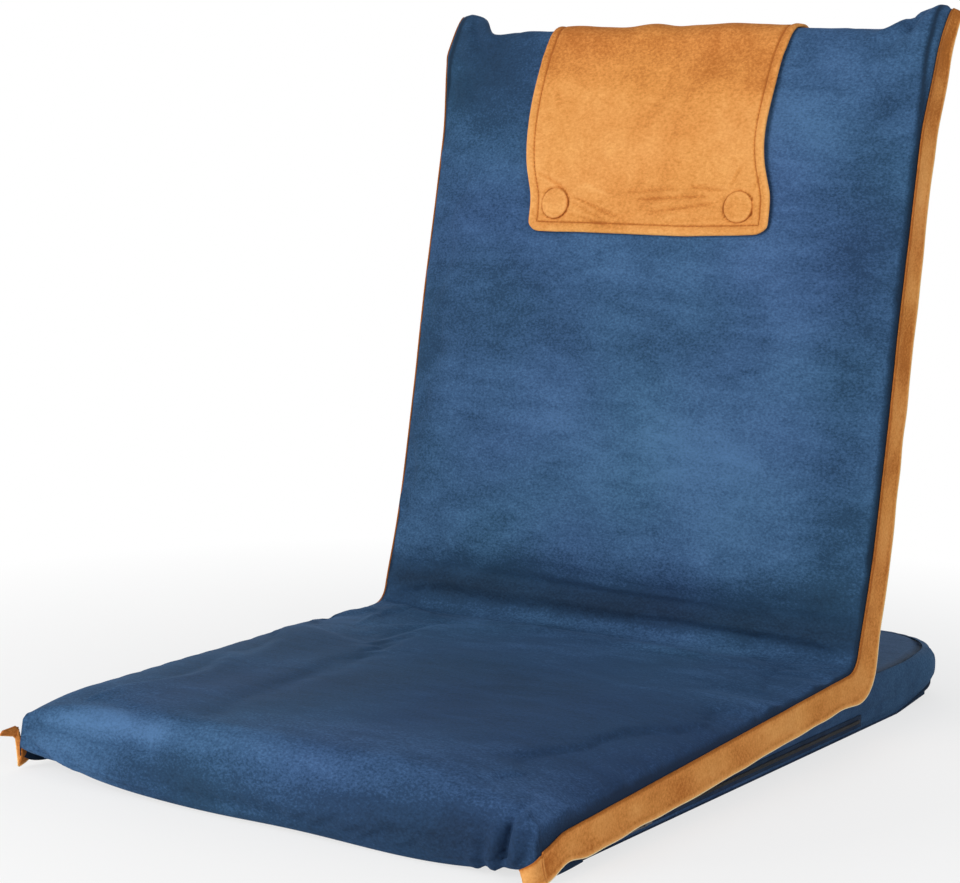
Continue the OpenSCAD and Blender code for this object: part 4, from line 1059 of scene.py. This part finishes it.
# %% Side bands
half_thick = 0.6
for side, side_name in ((1, "right"), (-1, "left")):
    edge, along, turn, tab_width = band_path(side)
    no_x = 0 * along
    spoil = 0.5 * waves(no_x, along, 60, 190, 12 + side) + 0.3 * waves(no_x, along, 22, 50, 14 + side)
    width = band_width(side, along, spoil, tab_width)
    twist = 1.0 * hump(along, -424, 13) + 0.7 * hump(along, 478, 9)
    centre = band_surface(side, edge, along, turn, width, spoil, twist)
    sheet_normals = normals(centre) * side
    outside = centre + sheet_normals * half_thick
    inside = centre - sheet_normals * half_thick
    if np.mean(sheet_normals[..., 0]) * side < 0:
        outside, inside = inside, outside
    points, faces = shell(outside, inside) if side < 0 else shell(inside, outside)
    band = add_piece(f"side_band_{side_name}", points, faces, suede)
    band.data.materials.append(raw_edge)
    shares = np.tile(band_across, 2 * len(edge))
    for polygon in band.data.polygons:
        if min(shares[i] for i in polygon.vertices) > 0.95:
            polygon.material_index = 1
    with_nap_and_shading(band, np.tile(band_nap_and_shading(side, along, spoil, twist).ravel(), 2))
    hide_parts(f"seat_band_{side_name}", f"back_band_{side_name}")
    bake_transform(band)
print("bands with", len(edge), "rows")

# %% [markdown]
# ## Rear of the back
# The rear panel is plain velvet, drawn a little loose over the webbing. Below it a
# gusset runs from the back down to the foot, over the hinge.

# %% Rear panel
rear_q = np.linspace(-1, 1, 101)
rear_z = np.linspace(462, 20, 121)
rq, rz = np.meshgrid(rear_q, rear_z)
from_side = 1 - np.abs(rq)
rear_y = 10.4 + 2.2 * (1 - np.abs(rq) ** 6) * smooth(rz, 20, 60)
rear_y = rear_y + 0.7 * waves(rq * cover_half, rz, 90, 220, 5)
rear_lift = 1.1 * np.exp(-from_side / 0.06) * (1 - np.exp(-from_side / 0.01)) * waves(0 * rz, rz, 16, 46, 6)
rear_folds = [
    ((-200, 60), (-60, 34), 6, 1.6), ((200, 56), (40, 30), 6, 1.6), ((-150, 44), (150, 40), 5, -1.4),
    ((-190, 440), (-90, 448), 6, 1.0), ((190, 430), (80, 446), 6, 1.0),
]
for start, end, width, height in rear_folds:
    rear_lift += fold(rq * cover_half, rz, start, end, width, height)
rear_y = rear_y + rear_lift * smooth(from_side, 0, 0.02)
panel_grid = back_place(rq * (cover_half - 0.4), rear_y, rz)[:, ::-1]
rear_panel = add_piece("rear_panel", panel_grid.reshape(-1, 3), grid_faces(*rq.shape), velvet)
# Painted shade: a dark line along each side seam of the panel
with_nap_and_shading(rear_panel, -2.4 * hump(from_side[:, ::-1], 0, 0.008))
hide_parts("back_rear_panel")
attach(rear_panel, "back")
print("rear panel grid", rq.shape)

# %% Gusset between the back and the foot
gv = np.linspace(0, 1, 20)[:, None, None]
across_rear = len(rear_q)
gusset_top = panel_grid[-1][None, ::-1]
gusset_bend = np.stack([
    rear_q * 220, np.full(across_rear, pivot_y + 13.5), np.full(across_rear, 42.0)], -1)[None]
gusset_foot = np.stack([
    rear_q * 215, np.full(across_rear, pivot_y + 24.0), np.full(across_rear, 38.6)], -1)[None]
gusset_grid = (1 - gv) ** 2 * gusset_top + 2 * gv * (1 - gv) * gusset_bend + gv ** 2 * gusset_foot
puckers = waves(rear_q[None] * 220, 0 * gv[..., 0], 18, 50, 31)
gusset_grid[..., 2] += 0.8 * np.sin(math.pi * gv[..., 0]) * puckers
gusset_faces = grid_faces(*gusset_grid.shape[:2])
# The gusset takes the darker copy of the velvet: painted shade
gusset = add_piece("rear_gusset", gusset_grid[:, ::-1].reshape(-1, 3), gusset_faces, velvet_in_shade)
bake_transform(gusset)
print("gusset grid", gusset_grid.shape[:2])

# %% [markdown]
# ## Foot
# The foot is a flat padded base whose rear corners are round. Rings drawn in from
# its outline follow the rounded edge. The velvet is gathered round each rear corner
# and runs straight along the sides, between a seam at the top and one at the floor.

# %% Foot outline
foot_half = 217.0
foot_rear = pivot_y + 206.0
foot_front = pivot_y - 389.0
corner_r = 69.0
rear_raised = 12.5
heel_low = 31.5
heel_rise = 7.3
under_seat_gap = 9.6


def foot_plan():
    """Outline seen from above, from the front right to the front left corner."""
    centre_x = foot_half - corner_r
    centre_y = foot_rear - corner_r
    points, directions = [], []
    for y in np.linspace(foot_front, centre_y, 110):
        points.append((foot_half, y))
        directions.append((1.0, 0.0))
    for a in np.linspace(0, math.pi / 2, 72)[1:-1]:
        points.append((centre_x + corner_r * math.cos(a), centre_y + corner_r * math.sin(a)))
        directions.append((math.cos(a), math.sin(a)))
    for x in np.linspace(centre_x, 0, 40):
        points.append((x, foot_rear))
        directions.append((0.0, 1.0))
    p = np.array(points)
    n = np.array(directions)
    mirror = np.array([-1, 1])
    return np.concatenate([p, (p * mirror)[::-1][1:]]), np.concatenate([n, (n * mirror)[::-1][1:]])


def foot_heights(y):
    """Underside and top of the foot at a distance along it."""
    rel = y - pivot_y
    low = rear_raised * np.clip((rel - 83) / 110, 0, 1)
    under_seat = pivot_z + rel * math.sin(slope) - under_seat_gap
    top = np.where(rel < -8, under_seat, heel_low + heel_rise * smooth(rel, -8, 14))
    return low, np.minimum(top, heel_low + heel_rise)


plan, outward = foot_plan()
print("foot outline with", len(plan), "points")

# %% Rounded sides of the foot
plan_steps = np.linalg.norm(np.diff(plan, axis=0), axis=1)
plan_run = np.concatenate([[0], np.cumsum(plan_steps)])
low, top = foot_heights(plan[:, 1])
mid = (low + top) / 2
half_high = (top - low) / 2
at_rear = smooth(plan[:, 1], foot_rear - 115, foot_rear - 50)
corner = np.clip(2.6 * np.abs(outward[:, 0] * outward[:, 1]), 0, 1)
depth = 3.5 + 7.0 * at_rear
gathers = waves(plan_run, 0 * plan_run, 9, 17, 41, 7) + 0.7 * waves(plan_run, 0 * plan_run, 20, 40, 42, 5)
body = []
for a in np.linspace(-math.pi / 2, math.pi / 2, 31):
    share = math.sin(a)
    inset = depth * (1 - math.cos(a) ** 0.8)
    z = mid + half_high * math.copysign(abs(share) ** 0.9, share)
    ripple = 0.95 * corner * gathers * (0.35 + 0.65 * abs(share)) * math.cos(a) ** 0.4
    ripple += 0.4 * waves(plan_run, z, 60, 150, 43) * (z > 16) * math.cos(a)
    seams = 1.1 * np.exp(-((z - low - 3.2) / 1.0) ** 2) + 0.5 * np.exp(-((top - 4.0 - z) / 1.1) ** 2)
    seams = seams + 1.0 * np.exp(-((z - low - 15.5) / 1.1) ** 2) * (1 - at_rear)
    swell = 1.4 * math.cos(a) ** 2 * (z > 15) * (1 - at_rear)
    p = plan - outward * (inset - ripple + seams * math.cos(a) ** 0.5 - swell)[:, None]
    body.append(np.concatenate([p, z[:, None]], 1))
body = np.array(body)
print("foot rings", body.shape[:2])

# %% Foot piece
count = len(plan)
halfway = count // 2


def foot_face(ring, flip, offset, puff):
    """Top or underside of the foot: rows between the mirrored points of one ring."""
    share = np.linspace(0, 1, 41)[None, :, None]
    grid = ring[:halfway + 1, None] * (1 - share) + ring[::-1][:halfway + 1, None] * share
    uneven = waves(grid[..., 0], grid[..., 1], 70, 190, 44)
    grid[..., 2] += puff * np.sin(math.pi * share[..., 0]) ** 0.5 * uneven
    return grid.reshape(-1, 3), grid_faces(halfway + 1, 41, offset, flip=flip)


points = body.reshape(-1, 3)
faces = grid_faces(*body.shape[:2])
top_points, top_faces = foot_face(body[-1], False, len(points), 0.5)
points = np.concatenate([points, top_points])
faces += top_faces
low_points, low_faces = foot_face(body[0], True, len(points), 0.0)
points = np.concatenate([points, low_points])
faces += low_faces
# The foot takes the darker copy of the velvet: painted shade
foot = add_piece("foot_padding", points, faces, velvet_in_shade)
closing = foot.modifiers.new("weld", "WELD")
closing.merge_threshold = 0.0001
bpy.context.view_layer.objects.active = foot
foot.select_set(True)
bpy.ops.object.modifier_apply(modifier="weld")
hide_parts("foot_cover", "foot_foam")
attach(foot, "seat")
print("foot with", len(foot.data.vertices), "points")

# %% [markdown]
# ## Underside
# The foot stands on a woven base fabric. The seat's front has a lining of the foot's
# blue velvet, in its darker copy that stands for shade. Both are thin closed sheets with
# a turned hem round their edge, drawn to the boxes of the CAD pieces that they stand for.

# %% Underside cloths


def flat_cloth(name, node, grid, thick, down, body_name, material):
    """Thin closed cloth with a hem, from a grid of points on its upper side."""
    rows_here, columns_here = grid.shape[:2]
    v = np.linspace(0, 1, rows_here)[:, None]
    u = np.linspace(0, 1, columns_here)[None, :]
    rim = np.minimum(np.minimum(u, 1 - u) * columns_here, np.minimum(v, 1 - v) * rows_here)
    hem = thick * (0.55 + 0.45 * hump(rim, 1.2, 1.1))
    under = grid + down * hem[..., None]
    piece_points, piece_faces = shell(grid, under)
    piece = add_piece(name, piece_points, piece_faces, material)
    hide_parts(node)
    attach(piece, body_name)
    return piece


lo, hi = (np.array(c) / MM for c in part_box("foot_bottom_panel"))
us = np.linspace(-1, 1, 61)
bottom = []
for y in np.linspace(lo[1] + 0.5, hi[1] - 0.5, 90):
    reach = hi[0] - 0.3
    past = y - (foot_rear - corner_r)
    if past > 0:
        reach = min(reach, foot_half - corner_r - 3 + math.sqrt(max(corner_r ** 2 - past ** 2, 1)))
    z = max(float(foot_heights(np.array([y]))[0][0]), lo[2]) + 0.9
    bottom.append(np.stack([us * reach, np.full(len(us), y), np.full(len(us), z)], -1))
bottom = np.array(bottom)
world_down = np.array([0, 0, -1.0])
flat_cloth("foot_base_cloth", "foot_bottom_panel", bottom, 0.85, world_down, "seat",
           base_cloth)

lo, hi = (np.array(c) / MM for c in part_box("seat_underside_panel"))
uu, dd = np.meshgrid(np.linspace(-1, 1, 81), np.linspace(392, 443.5, 20))
narrowed = uu + 0.07 * smooth(-uu, 0.6, 1) * smooth(dd, 395, 435)
lining_z = -9.6 + 5 * smooth(-uu, 0.7, 1) * smooth(dd, 392, 440)
lining = seat_place(narrowed * (hi[0] - 0.5), dd, lining_z)
# The lining takes the darker copy of the velvet: painted shade
flat_cloth("seat_lining", "seat_underside_panel", lining, 1.1, seat_down, "seat",
           velvet_in_shade)
print("underside cloths: foot", bottom.shape[:2], "seat", lining.shape[:2])

# %% [markdown]
# ## Zip
# The cover of the foot opens with a coil zip on the right. Its coil is one thread
# wound as a flat spiral, so it is a tube that follows a squeezed helix.

# %% Tube along a path


def tube(name, path_points, radius, sides, material):
    """Tube round a path, closed at both ends."""
    path_points = np.asarray(path_points, float)
    ahead = np.gradient(path_points, axis=0)
    ahead /= np.linalg.norm(ahead, axis=1, keepdims=True)
    guide = np.array([1.0, 0.02, 0.03])
    first = np.cross(ahead, guide)
    first /= np.linalg.norm(first, axis=1, keepdims=True)
    second = np.cross(ahead, first)
    turns = np.linspace(0, 2 * math.pi, sides, endpoint=False)
    rings = path_points[:, None] + radius * (
        first[:, None] * np.cos(turns)[None, :, None] + second[:, None] * np.sin(turns)[None, :, None])
    tube_faces = ring_faces(len(path_points), sides)
    tube_faces.append(tuple(range(sides))[::-1])
    tube_faces.append(tuple(range((len(path_points) - 1) * sides, len(path_points) * sides)))
    return add_piece(name, rings.reshape(-1, 3), tube_faces, material)


print("tube helper ready")

# %% Zip tape
tape_half = 0.3
lo, hi = (np.array(c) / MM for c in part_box("zip_tape"))
ty, tz = np.meshgrid(np.linspace(lo[1], hi[1], 120), np.linspace(lo[2], hi[2], 13))
tape_x = lo[0] + 0.35 + 0.12 * waves(ty, tz, 30, 80, 51)
ridge = 0.16 * np.cos((tz - lo[2]) / (hi[2] - lo[2]) * math.pi * 8)
outer = np.stack([tape_x + tape_half + ridge, ty, tz], -1)
inner = np.stack([tape_x - tape_half, ty, tz], -1)
points, faces = shell(outer, inner)
tape = add_piece("zip_tape_cloth", points, faces, base_cloth)
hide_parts("zip_tape")
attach(tape, "seat")
print("zip tape grid", ty.shape)

# %% Zip coil
tooth_pitch = 1.9
coil_flat = 0.45
coil_high = 1.25
lo, hi = (np.array(c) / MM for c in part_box("zip_coil"))
middle_x, middle_z = (lo[0] + hi[0]) / 2, (lo[2] + hi[2]) / 2
turns = np.arange(0, (hi[1] - lo[1] - 2) / tooth_pitch, 1 / 9)
helix = np.stack([middle_x + coil_flat * np.cos(turns * 2 * math.pi), lo[1] + 1 + turns * tooth_pitch,
                  middle_z + coil_high * np.sin(turns * 2 * math.pi)], -1)
coil = tube("zip_teeth", helix, 0.42, 5, plastic)
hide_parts("zip_coil")
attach(coil, "seat")
print("zip coil with", len(helix), "points on its path")

# %% [markdown]
# ## Head flap
# A double layer of suede is sewn down behind the top edge, lies over it, and hangs
# down the front, where two covered snaps hold it. It rests on the cover, so each of
# its points is found on the cover and then lifted off it.

# %% Points on the cover
bare_x = bare_cover[..., 0]


def on_cover(x, t):
    """Points on the cover at places across x, for one distance t along it."""
    row = float(np.interp(t, run_middle, np.arange(rows_all)))
    j = min(int(row), rows_all - 2)
    share = row - j
    lines = []
    for k in (j, j + 1):
        column = np.interp(x, bare_x[k], np.arange(columns))
        i = np.minimum(column.astype(int), columns - 2)
        part = (column - i)[:, None]
        lines.append(bare_cover[k][i] * (1 - part) + bare_cover[k][i + 1] * part)
    return lines[0] * (1 - share) + lines[1] * share


def evened(grid, passes):
    """Grid with small unevenness smoothed away, its rim kept."""
    grid = grid.copy()
    for _ in range(passes):
        around = (grid[:-2, 1:-1] + grid[2:, 1:-1] + grid[1:-1, :-2] + grid[1:-1, 2:]) / 4
        grid[1:-1, 1:-1] = 0.5 * grid[1:-1, 1:-1] + 0.5 * around
    return grid


# %% Flap outline
flap_length = 249.0
flap_low = 330.5
seam_in = 8.0
flap_corner = 8.0
edge_zone = 16.5
flap_low_share = (flap_low - crease_reach) / (turn_z - crease_reach)
flap_low_row = 2 * (back_start + counts[5] * flap_low_share)
flap_start = float(np.interp(flap_low_row, np.arange(rows_all), run_middle))
flap_left = curve([0, 5, 13, 30, 51, 85, 119, 148, 175, 249],
                  [-107, -109, -110, -111, -116, -121, -122, -119, -115, -115])
flap_right = curve([0, 5, 13, 33, 59, 87, 119, 148, 175, 249],
                   [110, 113, 114, 113, 106, 102, 103, 106, 112, 114])
edge_steps = np.array([0, 0.5, 1.2, 2.2, 3.4, 4.8, 6.0, 6.8, 7.4, 8.0, 8.6, 9.3, 10.4, 12, 14, edge_zone])
inside_steps = np.linspace(0, 1, 116)[1:-1]
flap_w = np.concatenate([edge_steps, np.linspace(edge_zone, 62, 31)[1:], np.linspace(62, 150, 36)[1:],
                         np.linspace(150, 214, 36)[1:], np.linspace(214, flap_length, 14)[1:]])
flap_rows = []
flap_x = []
for w in flap_w:
    x0, x1 = float(flap_left(w)), float(flap_right(w))
    cut = flap_corner - math.sqrt(max(flap_corner ** 2 - (flap_corner - min(w, flap_corner)) ** 2, 0))
    x0, x1 = x0 + cut, x1 - cut
    inside = x0 + edge_zone + (x1 - x0 - 2 * edge_zone) * inside_steps
    xs = np.concatenate([x0 + edge_steps, inside, (x1 - edge_steps)[::-1]])
    rise = 3.6 * smooth(xs, 30, 112) * max(0, 1 - w / 60)
    line = np.array([on_cover(xs[k:k + 1], flap_start + w + rise[k])[0] for k in range(len(xs))])
    flap_rows.append(line)
    flap_x.append(xs)
flap_mid = evened(np.array(flap_rows), 8)
flap_x = np.array(flap_x)
flap_y = flap_w[:, None] + 0 * flap_x
print("flap grid", flap_mid.shape[:2])

# %% Flap thickness, hems and creases
side_rim = np.minimum(flap_x - flap_x[:, :1], flap_x[:, -1:] - flap_x)
rim = np.minimum(side_rim, flap_y)
offset = 3.4 - 1.5 * smooth(flap_y, 150, 185)
bow = 1.4 * hump(flap_y, 80, 45) * hump(side_rim, 0, 26)
thick = 1.25 * np.sqrt(np.clip(1 - (1 - np.clip(rim / 1.3, 0, 1)) ** 2, 0.02, 1))
hem = 0.75 * hump(rim, 3.8, 2.6) - 0.8 * hump(rim, seam_in, 0.7)
hem = hem * (1 - smooth(flap_y, 215, 240))
ripple = 0.45 * waves(flap_x, flap_y, 34, 110, 21) * np.clip(rim / 20, 0, 1)
ripple += 0.22 * waves(flap_x, flap_y, 9, 26, 22) * hump(flap_y, 20, 20) * np.clip(rim / 8, 0, 1)
creases = [
    ((-72, 31), (-16, 11), -1.3), ((-71, 26), (-32, 9), -1.0), ((-106, 50), (-76, 36), -0.9),
    ((-98, 44), (-78, 33), 0.8), ((-8, 28), (60, 33), -1.2), ((4, 18), (66, 27), -1.0),
    ((-20, 34), (30, 38), -0.6), ((40, 40), (74, 38), -1.0), ((76, 39), (86, 56), -0.9),
    ((-72, 15), (-20, 4), -0.7), ((20, 10), (70, 14), -0.7), ((-92, 40), (-96, 62), -0.7),
    ((98, 36), (104, 54), -0.7), ((-60, 40), (-30, 30), 0.7),
]
for start, end, height in creases:
    ripple += fold(flap_x, flap_y, start, end, 1.3, height)
    beside = ((start[0], start[1] + 3.2), (end[0], end[1] + 3.2))
    ripple += fold(flap_x, flap_y, *beside, 2.4, -0.6 * height)
button_w = snap_z - flap_low
for bx in (-snap_x, snap_x):
    away = np.hypot(flap_x - bx, flap_y - button_w)
    ripple += -1.2 * hump(away, 13.4, 0.9) - 0.6 * hump(away, 0, 22)
flap_n = normals(flap_mid)
toward = np.sign(np.sum(flap_n * np.array([0, -1, 0.3]), -1).mean())
flap_n = flap_n * toward
print(len(creases), "creases, up to", round(float(np.abs(ripple).max()), 1), "mm")

# %% Flap piece
surface = flap_mid + flap_n * (offset + bow)[..., None]
outer = surface + flap_n * (thick + hem + ripple)[..., None]
inner = surface - flap_n * thick[..., None]
points, faces = shell(inner, outer) if toward < 0 else shell(outer, inner)
flap = add_piece("head_flap_cloth", points, faces, suede)
# Painted shade and light on the flap: darker towards the top, where it turns over the edge, lighter across
# the lower middle, dark in the seam's groove, along the crease grooves and in a ring round each button,
# lighter on the few raised creases. It is also a little lighter at its very edge.
flap_nap_and_shading = -0.8 * smooth(flap_y, 105, 200) + 0.35 * hump(flap_y, 60, 45)
flap_nap_and_shading = flap_nap_and_shading - 1.1 * hump(rim, seam_in, 0.7) + 0.5 * hump(rim, 0, 2.5)
for start, end, height in creases:
    flap_nap_and_shading = flap_nap_and_shading + fold(flap_x, flap_y, start, end, 1.1, 0.7 * height)
for bx in (-snap_x, snap_x):
    away = np.hypot(flap_x - bx, flap_y - button_w)
    flap_nap_and_shading = flap_nap_and_shading - 2.0 * hump(away, 13.2, 0.8)
with_nap_and_shading(flap, np.concatenate([flap_nap_and_shading.ravel(), flap_nap_and_shading.ravel()]))
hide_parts("head_flap", "flap_anchor")
lift_start = metres(back_place(0, -10, 506))
lift_end = metres(back_place(0, -24, 488))
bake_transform(flap)
print("flap lowest point", outer[..., 2].min().round(1))

# %% [markdown]
# ## Stitches
# One line of thread holds the hem of the flap, about eight millimetres in from its
# edge. A picture of stitches would lie flat, and real thread catches the light. So
# each stitch is a small closed thread, laid along a path on the cloth.

# %% Stitches
thread_sides = 6


def stitches(name, path_points, path_normals, length, pitch, radius, material):
    """Row of short threads along a path on a surface."""
    steps_here = np.linalg.norm(np.diff(path_points, axis=0), axis=1)
    walked = np.concatenate([[0], np.cumsum(steps_here)])
    profile = [(-0.5, 0.35, -0.5), (-0.3, 0.9, 0.35), (0, 1.0, 0.6), (0.3, 0.9, 0.35), (0.5, 0.35, -0.5)]
    turns_here = np.linspace(0, 2 * math.pi, thread_sides, endpoint=False)
    mesh_points, mesh_faces = [], []
    for centre_at in np.arange(pitch, walked[-1] - pitch, pitch):
        base = len(mesh_points)
        for along_share, size, height in profile:
            d = centre_at + along_share * length
            here = np.array([np.interp(d, walked, path_points[:, k]) for k in range(3)])
            next_one = np.array([np.interp(d + 0.5, walked, path_points[:, k]) for k in range(3)])
            n = np.array([np.interp(d, walked, path_normals[:, k]) for k in range(3)])
            n /= np.linalg.norm(n)
            ahead = next_one - here
            ahead /= max(np.linalg.norm(ahead), 1e-9)
            aside = np.cross(ahead, n)
            for turn in turns_here:
                mesh_points.append(here + n * (radius * height + radius * size * math.sin(turn))
                                   + aside * radius * size * math.cos(turn))
        last = base + (len(profile) - 1) * thread_sides
        mesh_faces += ring_faces(len(profile), thread_sides, base, flip=True)
        mesh_faces.append(tuple(base + i for i in range(thread_sides)))
        mesh_faces.append(tuple(last + i for i in range(thread_sides))[::-1])
    return add_piece(name, mesh_points, mesh_faces, material)


print("a stitch is a thread with", thread_sides, "sides")

# %% Seam of the flap
seam_at = int(np.argmin(np.abs(edge_steps - seam_in)))
last_row = int(np.searchsorted(flap_w, 240))
flap_columns = flap_x.shape[1]
seam_steps = [(j, seam_at) for j in range(last_row, seam_at, -1)]
seam_steps += [(seam_at, i) for i in range(seam_at, flap_columns - seam_at)]
seam_steps += [(j, flap_columns - 1 - seam_at) for j in range(seam_at + 1, last_row)]
seam_path = np.array([outer[j, i] for j, i in seam_steps])
seam_normals = np.array([flap_n[j, i] for j, i in seam_steps])
flap_seam = stitches("flap_stitching", seam_path, seam_normals, 2.7, 3.5, 0.36, seam_thread)
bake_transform(flap_seam)
print("stitches on the flap:", len(flap_seam.data.vertices) // 30)

# %% [markdown]
# ## Covered buttons
# The two snaps wear caps of the flap's own suede. A cap is a low dome, so its profile
# is turned round the direction in which the flap faces there. The cloth over it is
# never quite even, so each ring wobbles a little.

# %% Covered buttons
spokes = 60
button_profile = [(11.6, -0.9), (12.3, -0.2), (12.6, 0.6), (12.4, 1.3), (11.8, 1.85), (10.8, 2.2),
                  (9.0, 2.45), (6.5, 2.6), (3.5, 2.7), (1, 2.72)]
tip_height = 2.73
# Painted shade under the rim of each button and painted light on its top
button_nap_and_shading = [-1.2, -1.2, -0.6, 0, 0.4, 0.4, 0.2, 0.2, 0.2, 0.2]
around_button = np.linspace(0, 2 * math.pi, spokes, endpoint=False)
for side, side_name in ((1, "right"), (-1, "left")):
    row = int(np.argmin(np.abs(flap_w - button_w)))
    column = int(np.argmin(np.abs(flap_x[row] - side * snap_x)))
    n = flap_n[row, column]
    across_dir = np.array([1.0, 0, 0]) - n[0] * n
    across_dir /= np.linalg.norm(across_dir)
    up_dir = np.cross(n, across_dir)
    up_dir = up_dir if up_dir[2] > 0 else -up_dir
    centre = surface[row, column] + n * 0.9
    rings = []
    for r, h in button_profile:
        wobble = 0.10 * np.sin(around_button * 5 + 1.3 + side) * (r > 5) + 0.06 * np.sin(around_button * 11)
        rings.append(centre + (h + wobble)[:, None] * n + (r * np.cos(around_button))[:, None] * across_dir
                     + (r * np.sin(around_button))[:, None] * up_dir)
    points = np.concatenate([np.array(rings).reshape(-1, 3), (centre + tip_height * n)[None]])
    faces = ring_faces(len(rings), spokes)
    tip = len(rings) * spokes
    faces += [(tip - spokes + i, tip - spokes + (i + 1) % spokes, tip) for i in range(spokes)]
    faces.append(tuple(range(spokes))[::-1])
    button = add_piece(f"covered_button_{side_name}", points, faces, suede)
    with_nap_and_shading(button, np.concatenate([np.repeat(button_nap_and_shading, spokes), [0.2]]))
    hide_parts(f"snap_button_{side_name}")
    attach(button, "flap")
print("buttons on the flap")

# %% [markdown]
# ## Carry handle
# A strip of black webbing stands out from the rear panel in a low bow. Its ends
# turn in small tabs that are sewn to the panel with a box of stitches.

# %% Carry handle
handle_x, handle_y, handle_z = 208.0, 14.85, 263.0
bow_r = 85.625
bow_high = 20.0
strip_half = 59.6
across_strip = np.linspace(-1, 1, 17)
strip = []
for z in np.linspace(-strip_half, strip_half, 73):
    y = bow_high - bow_r + math.sqrt(bow_r ** 2 - z ** 2)
    w = 2.0 + 7.0 * smooth(54 - abs(z), 0, 10)
    strip.append([(u * w, max(y - 1.0, 0.1), z) for u in across_strip])
strip = np.array(strip)
ridge = 0.14 * np.cos(across_strip * math.pi * 7)[None, :] - 0.25 * np.abs(across_strip)[None, :] ** 6


def handle_place(p, raised):
    """Point of the strip, raised outwards, in the chair's frame."""
    return back_place(handle_x + p[..., 0], handle_y + p[..., 1] + raised, handle_z + p[..., 2])


points, faces = shell(handle_place(strip, 0.85 + ridge), handle_place(strip, -0.85 - ridge))
handle = add_piece("handle_strip", points, faces, webbing)
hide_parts("carry_handle")
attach(handle, "handle")
print("handle strip", strip.shape[:2])

# %% [markdown]
# ## Handle tabs
# Each end of the strip is held by a tab of the same webbing, sewn to the rear panel
# with a square of stitches and one diagonal. Both tabs are thin closed sheets that
# lie on the panel, so one loop draws them into a single piece.

# %% Handle tabs
tab_in = 194.7
tab_out = 218.1
seam_gap = 3.5
tab_points, tab_faces, tab_paths = [], [], []
for low_z, high_z in ((194.5, 216.5), (309.5, 331.5)):
    tx, tz = np.meshgrid(np.linspace(tab_in, tab_out, 25), np.linspace(low_z + 0.3, high_z - 0.3, 23))
    to_rim = np.minimum(tx - tab_in, tab_out - tx)
    to_rim = np.minimum(to_rim, np.minimum(tz - low_z - 0.3, high_z - 0.3 - tz))
    outer_y = 12.5 - 0.5 * np.exp(-to_rim / 0.6) - 0.3 * hump(to_rim, 3.4, 0.8)
    outer_y += 0.06 * np.cos(tx * 2.2)
    base = len(tab_points)
    points, faces = shell(back_place(tx, outer_y, tz), back_place(tx, 11.1 + 0 * tx, tz))
    tab_points += [tuple(p) for p in points]
    tab_faces += [tuple(base + i for i in f) for f in faces]
    left, right_x = tab_in + seam_gap, tab_out - seam_gap
    corners = [(left, low_z + 3.7), (right_x, low_z + 3.7), (right_x, high_z - 3.7), (left, high_z - 3.7)]
    order = [corners[k] for k in (0, 1, 2, 3, 0, 2)]
    path_xz = np.concatenate([np.linspace(a, b, 12)[:-1] for a, b in zip(order, order[1:])])
    tab_paths.append(back_place(path_xz[:, 0], 12.35 + 0 * path_xz[:, 0], path_xz[:, 1]))
tabs = add_piece("handle_tab_webbing", tab_points, tab_faces, webbing)
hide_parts("handle_tabs")
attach(tabs, "back")
behind = np.tile(back_behind, (len(tab_paths[0]), 1))
for word, path_points in zip(("lower", "upper"), tab_paths):
    sewn = stitches(f"handle_tab_stitching_{word}", path_points, behind, 2.2, 3.0, 0.32, webbing)
    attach(sewn, "back")
print("handle tabs sewn on")
